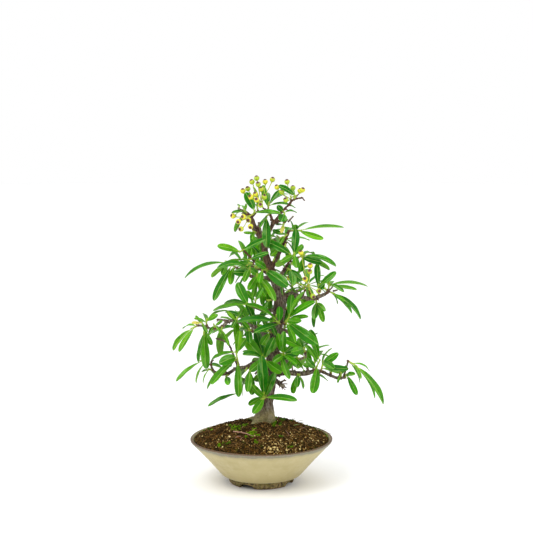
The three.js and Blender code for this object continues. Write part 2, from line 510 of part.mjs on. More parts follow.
/** Places taken by what has grown so far, kept in cells for a quick look. */
class Room {
  constructor(cell) {
    this.cell = cell;
    this.cells = new Map();
  }

  /** Takes up balls of { point, radius, share }, share being how far along its leaf each is. */
  take(balls, owner) {
    for (const { point, radius, share } of balls) {
      const reach = radius + this.cell;
      const low = [point.x, point.y, point.z].map((v) => Math.floor((v - reach) / this.cell));
      const high = [point.x, point.y, point.z].map((v) => Math.floor((v + reach) / this.cell));
      for (let i = low[0]; i <= high[0]; i += 1) {
        for (let j = low[1]; j <= high[1]; j += 1) {
          for (let k = low[2]; k <= high[2]; k += 1) {
            const key = `${i},${j},${k}`;
            if (!this.cells.has(key)) this.cells.set(key, []);
            this.cells.get(key).push({ point, radius, share, owner });
          }
        }
      }
    }
  }

  /** Whether balls of an owner clear all that others have taken, and its own outer leaves. */
  clears(balls, owner) {
    return balls.every(({ point, radius, share }) => {
      const key = [point.x, point.y, point.z].map((v) => Math.floor(v / this.cell)).join(',');
      return (this.cells.get(key) ?? []).every((other) => {
        if (other.owner === owner && Math.min(share, other.share) < SHARED_FOOT) return true;
        if (other.owner === 'wood' && share < SHARED_FOOT * 0.6) return true;
        return point.distanceTo(other.point) > radius + other.radius + GAP;
      });
    });
  }
}

/** A blade's half width at a share of its length: drawn out to both ends from past its middle. */
function halfWidth(leaf, share) {
  const along = Math.max(share - OUTLINE_FOOT, 0) / (1 - OUTLINE_FOOT);
  const outline = along ** OUTLINE_RISE * Math.sqrt(1 - along) / OUTLINE_PEAK;
  return Math.max(STALK_DIAMETER / 2, 0.5 * leaf.width * outline);
}

/** The leaf's midline point and its side and upper directions at a share of its length. */
function leafFrame(leaf, share) {
  const run = leaf.tip.clone().sub(leaf.base);
  const length = run.length();
  const chord = run.clone().divideScalar(length);
  const side = leaf.face.clone().cross(chord);
  const bow = 4 * share * (1 - share);
  const point = leaf.base.clone()
    .addScaledVector(run, share)
    .addScaledVector(leaf.face, leaf.arch * length * bow)
    .addScaledVector(side, leaf.sweep * length * bow);
  const climb = leaf.arch * 4 * (1 - 2 * share);
  const forward = chord.clone().addScaledVector(leaf.face, climb).normalize();
  return { point, side, upper: forward.clone().cross(side) };
}

/** Balls that stand for a leaf when room is looked for. */
function leafBalls(leaf) {
  const balls = [];
  for (let i = 1; i <= LEAF_BALLS; i += 1) {
    const share = i / LEAF_BALLS;
    const { point, side } = leafFrame(leaf, share);
    const half = halfWidth(leaf, Math.min(share, 0.97));
    for (const across of half > 1.2 ? [-0.85, -0.3, 0.3, 0.85] : [0]) {
      const middle = point.clone().addScaledVector(side, across * half);
      balls.push({ point: middle, radius: LEAF_BALL, share });
    }
  }
  return balls;
}

/** The leaf as a closed blade with a keel under its midrib. */
function leafSolid(leaf) {
  const stations = leaf.arch < FLAT_ARCH ? FLAT_STATIONS : ARCHED_STATIONS;
  const rings = stations.map((share) => {
    const { point, side, upper } = leafFrame(leaf, share);
    const half = halfWidth(leaf, share);
    const thick = (share === 0 ? SEAT_THICKNESS : BLADE_THICKNESS) / 2;
    const top = point.clone().addScaledVector(upper, thick);
    return [
      top.clone().addScaledVector(side, half),
      top.clone().addScaledVector(side, -half),
      point.clone().addScaledVector(upper, -thick),
    ];
  });
  return solidOf(skinOver(rings));
}

/** A leaf from its seat to its tip, turned so that it shows a given width to the viewer. */
function seenLeaf(seat, tip, seenPixels, arch, sweep) {
  const chord = tip.clone().sub(seat).normalize();
  const base = seat.clone().addScaledVector(chord, SEAT_DEPTH);
  const length = base.distanceTo(tip);
  const seen = seenPixels * MM_PER_PIXEL;
  const width = Math.max(Math.abs(seen), BLADE_RATIO * length);
  const toViewer = squareTo(EYE.clone().sub(base).normalize(), chord);
  const upwards = chord.clone().cross(toViewer);
  if (upwards.z < 0) upwards.negate();
  const facing = seen / width;
  const face = toViewer.multiplyScalar(facing).addScaledVector(upwards, Math.sqrt(1 - facing * facing));
  return { base, tip, width, face, arch, sweep };
}

/** A plain leaf that leaves its shoot at a turn, drooping and leaning to the back. */
function plainLeaf(seat, axis, turn, lean, length, roll, arch) {
  const up = new THREE.Vector3(0, 0, 1);
  const across = squareTo(Math.abs(axis.z) > 0.9 ? new THREE.Vector3(1, 0, 0) : up, axis);
  const beside = axis.clone().cross(across);
  const chord = axis.clone().multiplyScalar(Math.cos(lean))
    .addScaledVector(across, Math.cos(turn) * Math.sin(lean))
    .addScaledVector(beside, Math.sin(turn) * Math.sin(lean))
    .add(new THREE.Vector3(0, BACK_LEAN, -DROOP))
    .normalize();
  const upper = squareTo(up, chord);
  const face = upper.clone().multiplyScalar(Math.cos(roll))
    .addScaledVector(chord.clone().cross(upper), Math.sin(roll));
  const base = seat.clone().addScaledVector(chord, SEAT_DEPTH);
  const tip = base.clone().addScaledVector(chord, length);
  return { base, tip, width: BLADE_RATIO * 1.1 * length, face, arch, sweep: 0 };
}

/** Whether no part of a leaf is down in the pot or the soil. */
function clearsPot(balls) {
  return balls.every(({ point }) => {
    const overPot = Math.hypot(point.x, point.y) < RIM_DIAMETER / 2 + 4;
    return !overPot || point.z > soilHeight(point.x, point.y) + 3;
  });
}

const room = new Room(ROOM_CELL);
const limbs = LIMBS.map((limb) => alongLimb(limb, 1));
const woodPlaces = LIMBS.flatMap((limb) => alongLimb(limb, WOOD_STEPS));

/** A twig from the nearest wood to a place that stands off it, or null. */
function twigTo(place) {
  const away = (wood) => wood.point.distanceTo(place) - wood.radius;
  const nearest = woodPlaces.reduce((best, wood) => (away(wood) < away(best) ? wood : best));
  if (away(nearest) < 1) return null;
  const foot = { point: nearest.point, radius: Math.min(TWIG_DIAMETER / 2, nearest.radius) };
  return [foot, { point: place, radius: TWIG_DIAMETER * 0.45 }];
}

const shoots = SPRAYS.map(([, from, to]) => [onSightLine(from), onSightLine(to)]);
const seats = [...shoots.map(([from]) => from), ...BUNCHES.map(([, seat]) => onSightLine(seat))];
const twigs = seats.map(twigTo).filter((twig) => twig);

/** The wood with its twigs, grown by an allowance. */
function makeWood(allowance) {
  const tubes = limbs.map((places, i) => tube(places, i === 0 ? TRUNK_SIDES : LIMB_SIDES, allowance));
  return joined([...tubes, ...twigs.map((twig) => tube(twig, TWIG_SIDES, allowance))].map(solidOf));
}

/** Balls along a straight stretch. */
function ballsBetween(a, b, radius, share) {
  const steps = Math.ceil(a.distanceTo(b) / BALL_SPACING);
  const balls = [];
  for (let i = 0; i <= steps; i += 1) balls.push({ point: mixed(a, b, i / steps), radius, share });
  return balls;
}

room.take(woodPlaces.map(({ point, radius }) => ({ point, radius, share: 1 })), 'wood');
for (const [foot, end] of twigs) {
  room.take(ballsBetween(foot.point, end.point, end.radius, 1), 'wood');
}

/** A bunch: its rachis from the wood, and each berry's middle, calyx direction and stalk. */
function bunchOf([, seat, middles], number) {
  const draw = seededDraws(SEED * (number + 3));
  const root = onSightLine(seat);
  const centres = middles.map(onSightLine);
  const heart = centres.reduce((sum, centre) => sum.add(centre), new THREE.Vector3())
    .divideScalar(centres.length);
  const end = mixed(root, heart, 0.4);
  const front = root.y < 30 ? -0.8 : 0.8;
  const berries = centres.map((centre, i) => {
    const knot = mixed(root, end, 0.35 + 0.65 * (i / (centres.length - 1)));
    const axis = centre.clone().sub(knot).normalize().multiplyScalar(0.7)
      .add(new THREE.Vector3(draw() - 0.5, front + 0.5 * (draw() - 0.5), 0.5 * draw()))
      .normalize();
    const seatInBerry = centre.clone().addScaledVector(axis, -BERRY_DIAMETER / 2);
    return { centre, axis, stalk: [knot, seatInBerry] };
  });
  return { root, end, berries };
}

/** A bunch: round berries with a calyx rim and dimple, on thin stalks from a rachis. */
function makeBunch({ root, end, berries }, wood) {
  const thin = STALK_DIAMETER / 2;
  const rachis = [{ point: root, radius: thin * 1.6 }, { point: end, radius: thin * 1.4 }];
  const solids = [solidOf(tube(rachis, 4))];
  for (const { centre, axis, stalk } of berries) {
    const rings = BERRY_PROFILE.map(([along, across]) => ({
      point: centre.clone().addScaledVector(axis, along * BERRY_DIAMETER / 2),
      radius: across * BERRY_DIAMETER / 2,
    }));
    const stem = stalk.map((point) => ({ point, radius: thin }));
    solids.push(solidOf(tube([...stem, ...rings], BERRY_SIDES)));
  }
  return mainBody(joined(solids).subtract(wood));
}

const bunches = BUNCHES.map(bunchOf);
for (const { root, end, berries } of bunches) {
  for (const { centre, stalk } of berries) {
    room.take([{ point: centre, radius: BERRY_DIAMETER / 2, share: 1 }], 'berries');
    room.take(ballsBetween(...stalk, STALK_DIAMETER / 2, 1), 'berries');
  }
  room.take(ballsBetween(root, end, STALK_DIAMETER, 1), 'berries');
}
shoots.forEach(([from, to], number) => {
  room.take(ballsBetween(from, to, SHOOT_DIAMETER / 2, 0), number);
});

/** The first of a row of tried leaves that has room, which it then takes up. */
function settle(tries, number) {
  for (const leaf of tries) {
    const balls = leafBalls(leaf);
    if (clearsPot(balls) && room.clears(balls, number)) {
      room.take(balls, number);
      return [leaf];
    }
  }
  return [];
}

// The leaves that the photograph shows slide along their lines of sight until they have room.
const seenLeaves = SPRAYS.map(([, , , , rows], number) => {
  const draw = seededDraws(SEED * (number + 11));
  const [from, to] = shoots[number];
  return rows.flatMap(([x, y, towards, seen, arch], i) => {
    const seat = mixed(from, to, rows.length > 1 ? 0.3 + 0.7 * (i / (rows.length - 1)) : 1);
    const sweep = 0.08 * (draw() - 0.5);
    const tries = SLIDES.map((slide) => (
      seenLeaf(seat, onSightLine([x, y, towards + slide]), seen, arch, sweep)));
    return settle(tries, number);
  });
});

// Plain leaves fill each spray round its shoot, at the golden angle, where they have room.
const plainLeaves = SPRAYS.map(([, , , count], number) => {
  const draw = seededDraws(SEED * (number + 71));
  const [from, to] = shoots[number];
  const axis = to.clone().sub(from).normalize();
  const leaves = [];
  for (let i = 0; i < count; i += 1) {
    const seat = mixed(from, to, 0.5 + 0.45 * draw());
    const start = 2 * Math.PI * draw();
    const lean = 0.8 + 0.5 * draw();
    const length = LEAF_LENGTH * (0.8 + 0.35 * draw());
    const roll = 0.9 * (draw() - 0.5);
    const arch = 0.06 + 0.08 * draw();
    const tries = [];
    for (let j = 0; j < PLAIN_TRIES; j += 1) {
      tries.push(plainLeaf(seat, axis, start + j * GOLDEN_ANGLE, lean, length, roll, arch));
    }
    leaves.push(...settle(tries, number));
  }
  return leaves;
});

/** A spray: a green shoot with its leaves sunk into it, clear of the wood. */
function makeSpray(number, wood) {
  const [from, to] = shoots[number];
  const bud = to.clone().addScaledVector(to.clone().sub(from).normalize(), SEAT_DEPTH * 2);
  const shoot = tube([
    { point: from, radius: SHOOT_DIAMETER / 2 },
    { point: bud, radius: SHOOT_DIAMETER * 0.45 },
  ], SHOOT_SIDES);
  const leaves = [...seenLeaves[number], ...plainLeaves[number]].map(leafSolid);
  return mainBody(joined([solidOf(shoot), ...leaves]).subtract(wood));
}

const woodSolid = makeWood(0);
const woodRoom = makeWood(GAP);
const bark = new THREE.MeshStandardMaterial({ color: 0x6e5f52, roughness: 0.9 });
const glaze = new THREE.MeshStandardMaterial({ color: 0xcdbe8e, roughness: 0.45 });
const soil = new THREE.MeshStandardMaterial({ color: 0x40301f, roughness: 1 });
const berrySkin = new THREE.MeshStandardMaterial({ color: 0xc8cc36, roughness: 0.4 });
const leafSkins = GREENS.map((color) => new THREE.MeshStandardMaterial({ color, roughness: 0.5 }));

const plant = new THREE.Group();

function addPiece(name, solid, material) {
  const piece = new THREE.Mesh(geometryOf(solid), material);
  piece.geometry.computeVertexNormals();
  piece.name = name;
  plant.add(piece);
}

addPiece('pot', makePot(), glaze);
addPiece('soil', makeSoil(woodRoom), soil);
addPiece('trunk_and_branches', woodSolid, bark);
BUNCHES.forEach(([name], number) => addPiece(name, makeBunch(bunches[number], woodRoom), berrySkin));
SPRAYS.forEach(([name], number) => addPiece(name, makeSpray(number, woodRoom), leafSkins[number % 3]));

const box = new THREE.Box3().setFromObject(plant);
const middle = box.getCenter(new THREE.Vector3());
plant.position.set(-middle.x, -middle.y, 0);

const bonsai = new THREE.Group();
bonsai.add(plant);

export default bonsai;
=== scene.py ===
"""Potted narrowleaf firethorn bonsai: bowl, soil, moss, bark, leaves and berries, with its stage.

The plant grows in millimetres from the pot's axis, by the same rule and from the same rows as
its solids, and turns into metres where a mesh is made. -Y is the front and +Z is up.
"""

from math import ceil, cos, hypot, pi, radians, sin, sqrt

import bpy
import numpy as np
from bpy.props import FloatProperty, FloatVectorProperty, IntProperty, PointerProperty
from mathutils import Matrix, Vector, kdtree, noise


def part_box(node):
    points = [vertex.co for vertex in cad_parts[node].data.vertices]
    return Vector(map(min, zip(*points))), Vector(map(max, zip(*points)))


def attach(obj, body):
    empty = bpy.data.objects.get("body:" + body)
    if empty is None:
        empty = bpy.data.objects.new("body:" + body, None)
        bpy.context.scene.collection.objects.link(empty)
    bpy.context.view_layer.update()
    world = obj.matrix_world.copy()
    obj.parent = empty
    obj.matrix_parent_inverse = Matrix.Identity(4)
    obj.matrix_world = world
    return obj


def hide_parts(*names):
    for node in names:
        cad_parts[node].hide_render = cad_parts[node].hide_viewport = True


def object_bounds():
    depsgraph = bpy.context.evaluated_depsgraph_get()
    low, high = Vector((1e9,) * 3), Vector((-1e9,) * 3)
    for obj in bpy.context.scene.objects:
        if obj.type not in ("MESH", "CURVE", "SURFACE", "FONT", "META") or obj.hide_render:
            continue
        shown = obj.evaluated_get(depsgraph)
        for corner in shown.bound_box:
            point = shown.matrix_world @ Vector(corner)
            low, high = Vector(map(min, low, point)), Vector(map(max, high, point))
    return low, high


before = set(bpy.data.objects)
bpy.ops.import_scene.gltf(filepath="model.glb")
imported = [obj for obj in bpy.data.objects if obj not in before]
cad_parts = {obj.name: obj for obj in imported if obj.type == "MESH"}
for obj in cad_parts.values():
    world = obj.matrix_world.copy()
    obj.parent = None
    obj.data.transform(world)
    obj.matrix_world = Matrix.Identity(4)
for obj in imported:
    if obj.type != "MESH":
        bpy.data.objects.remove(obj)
SOLID_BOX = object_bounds()

bl_info = {
    "name": "Firethorn Bonsai",
    "version": (1, 0, 0),
    "blender": (4, 5, 0),
    "location": "View3D > Sidebar > Bonsai",
    "description": "A narrowleaf firethorn bonsai in a glazed round bowl",
    "category": "Add Mesh",
}

MM = 0.001
POT_LOW, POT_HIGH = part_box("pot")
AXIS = np.array([(POT_LOW.x + POT_HIGH.x) / 2 / MM, (POT_LOW.y + POT_HIGH.y) / 2 / MM, 0.0])

# Pot, in millimetres
RIM_DIAMETER = 170
WALL = 5
TURN_DIAMETER = 98
TURN_HEIGHT = 12
FOOT_TOP_DIAMETER = 83
FOOT_BOTTOM_DIAMETER = 76
FOOT_HEIGHT = 9.5
FOOT_RING_WIDTH = 7
FLOOR_THICKNESS = 6
WALL_SLOPE = 0.888
INSIDE_REACH = 36.4
NOTCH_WIDTH = 19
NOTCH_HEIGHT = 5.5
NOTCH_TURN = radians(27)
DRAIN_DIAMETER = 14

# The lip from inside to outside, as insets from the rim and heights, the wall's bend past the
# turn, and where throwing rings, the wall's sway, the lip's wave and the notches begin.
LIP = [(4.2, 51.2), (3.4, 52.7), (2.6, 53.6), (1.8, 54), (0.9, 53.8), (0.2, 53.2), (0, 52.4),
       (0.4, 51.2), (2.3, 49.3)]
WALL_BEND = (16.5, 30.9)
OUTER_RADIUS = 46
OUTER_HEIGHT = 11.5
SWAY = 0.25
SWAY_HEIGHT = 40
WAVE = 0.18
WAVE_HEIGHT = 44
RING_REACH = (29.5, 43)
RING_HEIGHT = 9.4

# Soil, in millimetres
SOIL_EDGE_HEIGHT = 51
SOIL_CROWN = 19
SOIL_REACH = 81
SOIL_RADIUS = 80.6
SOIL_FLOOR = 15.8
SOIL_EDGE_LIFT = 0.9
SOIL_FOOT_RADIUS = 39.2
LUMP_X = 27
LUMP_Y = 52
LUMP_HEIGHT = 3
LUMP_SPREAD = 300
CLOD_HEIGHT = 0.7

# Wood, sprays and berries, in millimetres or as shares
WOOD_STEPS = 8
TWIG_DIAMETER = 2.1
TWIG_END = TWIG_DIAMETER * 0.45
SHOOT_DIAMETER = 2.3
LEAF_LENGTH = 36
BLADE_RATIO = 0.22
STALK_DIAMETER = 1.1
SEAT_DEPTH = 0.6
OUTLINE_FOOT = 0.05
OUTLINE_RISE = 0.8
OUTLINE_PEAK = 0.42
BACK_LEAN = 0.45
DROOP = 0.25
GOLDEN_ANGLE = radians(137.5)
STEEP = 0.9
FIRST_SEAT = 0.3
BACK_SHARES = (0.4, 0.6, 0.8, 0.97)
BACK_LEAVES = 5
BERRY_DIAMETER = 6.4

# Room between what grows
GAP = 0.3
SEED = 7919
BALL_SPACING = 1.5
LEAF_BALL = 1.6
LEAF_BALLS = 16
SHARED_FOOT = 0.3
SLIDES = [0, 5, -5, 10, -10, 15, -15, 20, -20, 26, -26]
PLAIN_TRIES = 16
WIDEST_NEIGHBOUR = 15
WOOD = -1
FRUIT = -2
YOUNG = 1000
BACK_BRANCH = -40
TRUNK_SHOOTS = (138, 345, 20)
FORM_LEFT = 232
FORM_RIGHT = 304
FORM_TOP = 228
FORM_FOOT = 388
FORM_MARGIN = 0.003

# The photograph's sight lines
PHOTO_CENTRE = 266.5
PHOTO_SIDE = 533
FOCAL_PIXELS = 1364
EYE = np.array([6.1, -1600.0, 453.8])
EYE_PITCH = radians(6.9)
MM_PER_PIXEL = 1.196
SENSOR_WIDTH = 36

# Each row is one limb: [x, y, towards the viewer, radius in mm] from its root to its end.
LIMBS = [
    # trunk and leader, up to the cut end
    [[262.5, 436, -17, 11], [263, 424, -17, 12.4], [264, 416, -17, 10.8], [265.5, 408, -17, 9.4],
     [266.5, 400, -17, 8.5], [269, 385, -16, 7.9], [272, 365, -14, 7.6], [274, 345, -12, 7.2],
     [277, 325, -9, 7.2], [280, 305, -6, 7.5], [279, 292, -4, 6.6], [275, 280, -3, 5.6],
     [270, 268, -2, 4.8], [266, 256, -2, 4.1], [264, 245, -3, 3.5], [260, 236, -4, 3.6],
     [254.5, 228, -4, 3.6], [251, 218, -4, 2.8], [245, 212, -3, 2.3], [239, 210, -2, 1.9]],
    # surface roots
    [[263, 419, -15, 6], [257.5, 423, -7, 4], [252, 427.5, 1, 2.6], [247, 432, 9, 1.2]],
    [[264, 419, -18, 7], [272, 420, -26, 4], [281, 421.5, -36, 1.6]],
    [[263, 420, -18, 7], [253, 419, -26, 3.6], [244, 420.5, -33, 1.4]],
    # left side, from the top down
    [[273, 277, -3, 3.4], [264, 278, 0, 2.7], [255.7, 278, 4, 2.2], [244, 272.5, 8, 1.7],
     [237, 268, 9, 1.3]],
    [[270, 270, -2, 2.2], [262, 267, 0, 1.6], [253, 260, 4, 1.3], [243.5, 250, 7, 1.1]],
    [[279, 309, -6, 3], [266, 311, 1, 2.1], [252.5, 306.5, 8, 1.3]],
    [[277, 330, -9, 4.4], [266, 330, -4, 2.9], [252, 326, 2, 2.4], [235, 321, 8, 2.2],
     [227, 322, 10, 2.1], [222, 327, 11, 2.1], [213, 329, 12, 1.8], [205, 326.5, 13, 1.5],
     [199, 325.5, 14, 1.2]],
    [[230, 321.5, 9, 1.7], [223, 320, 9, 1.3], [216.5, 319.3, 9, 1]],
    [[270, 374, -13, 4.4], [262, 367, -6, 3], [255, 362.5, -2, 2.5], [246, 367, 4, 2.3],
     [237, 368, 7, 2.1], [228, 373.5, 9, 2], [219, 374, 10, 1.8], [213, 370, 10, 1.5],
     [211, 363, 10, 1.2], [213.5, 359.6, 10, 1]],
    [[238, 367, 7, 1.5], [233, 354, 5, 1.2], [228, 343, 5, 1.1], [221, 340, 5, 1],
     [215.5, 338.4, 5, 0.9]],
    # right side, from the top down
    [[271, 270, -2, 3], [277, 258, 0, 2.2], [281.5, 249, 1, 2], [286, 238, 1, 1.7],
     [289, 231, 0, 1.3]],
    [[275, 284, -3, 3.4], [281, 275, 0, 2.3], [286, 267, 2, 1.8], [291, 258.5, 4, 1.3]],
    [[280, 302, -6, 5.6], [287, 297, -3, 4.7], [294, 296, 0, 4.4], [302, 298, 4, 3.8],
     [310, 299, 6, 3], [318, 297, 8, 2.6], [327, 293, 10, 1.8], [329, 290.5, 11, 1.3]],
    [[277, 332, -9, 4.4], [284, 331, -2, 2.8], [288.5, 331, 3, 1.8]],
    [[273, 374, -14, 5], [285, 372.5, -8, 3.3], [297, 373.5, -4, 3.1], [305, 373.5, -1, 3],
     [313, 371.5, 1, 2.4], [320, 371, 3, 2], [331, 375.8, 4, 1.8], [338, 378, 4, 1.8],
     [345, 377.6, 4, 1.5]],
    [[308, 372.5, 0, 2], [306.5, 362, 2, 1.3], [305.5, 352.5, 3, 1]],
    [[330.5, 375.5, 4, 1.2], [331.8, 368.8, 4, 0.9]],
    [[339, 377.5, 4, 1.4], [341.5, 370.3, 5, 1]],
    [[343.5, 377.5, 4, 1.3], [346, 369, 5, 1.1], [348, 361, 6, 0.9]],
    [[270, 376, -15, 4], [278, 382.5, -7, 2.7], [284, 387, 0, 2.2]],
    # crown
    [[263, 241, -3, 2.9], [268, 233, -2, 2.5], [272, 226, -1, 2.3], [273.3, 221.5, -1, 2.1]],
    [[273.3, 223, -1, 2], [270.5, 215.5, -1, 1.7], [268, 210, -1, 1.3]],
    [[273, 224, -1, 2], [278, 217.3, 0, 1.8], [283, 210.5, 1, 1.5], [289, 204.5, 1, 1.3],
     [293.6, 199.6, 1, 1.2], [302.5, 197.6, 1, 0.9]],
    [[273.5, 223.5, -1, 1.7], [280, 221, 1, 1.3], [287, 219.5, 2, 0.9]],
    [[258.5, 234, -4, 1.7], [258, 226.5, -3, 1]],
    # away from the viewer
    [[275, 340, -12, 4.4], [262, 334, -32, 2.9], [250, 330, -52, 2], [243, 328, -64, 1.2]],
    [[280, 301, -6, 4.4], [290, 294, -25, 2.6], [300, 290, -45, 1.8], [305, 287, -58, 1.2]],
    [[271, 369, -15, 4.4], [285, 362, -35, 2.6], [297, 360, -52, 1.8], [303, 358, -64, 1.2]],
    [[272, 275, -3, 3.2], [262, 270, -20, 2], [252, 267, -36, 1.5], [246, 266, -46, 1.1]],
    [[264, 247, -3, 2.4], [272, 242, -18, 1.5], [279, 239, -32, 1.2], [283, 238, -42, 1]],
]

# Each row is one bunch: its name, where its stalks meet, and the middle of each berry.
BUNCHES = [
    ["berries_top_left", [253, 214, 4],
     [[233, 216, 10], [243.5, 217, 18], [238.5, 221.5, 22], [248.5, 220, 12], [250.5, 226.5, 16],
      [241, 229, 20]]],
    ["berries_crown", [263, 208, 3],
     [[256.7, 178.3, 2], [252, 181.9, 0], [265.2, 181.9, -8], [258.2, 184.3, 10],
      [247.8, 188.8, -6], [242.9, 191, 2], [261.2, 189.2, 6], [255.4, 194.4, 14],
      [250.8, 197, 18], [264.3, 197, 12], [256.7, 200, 20], [260.5, 205.1, 22],
      [272.4, 179.6, -10]]],
    ["berries_crown_right", [291.5, 201, -1],
     [[287.1, 181.9, -6], [277, 187.2, 10], [281.8, 191.8, 14], [285.8, 200, 12],
      [300, 191, -4], [302.5, 190, 6], [293, 188, -12]]],
    ["berries_middle_right", [309, 290, 14],
     [[301, 252.9, 14], [310.2, 265.8, 14], [309.7, 271.7, 20], [289.3, 277.9, 22],
      [305.2, 279.2, 24], [318.7, 291, 24], [312.9, 296.2, 28]]],
]

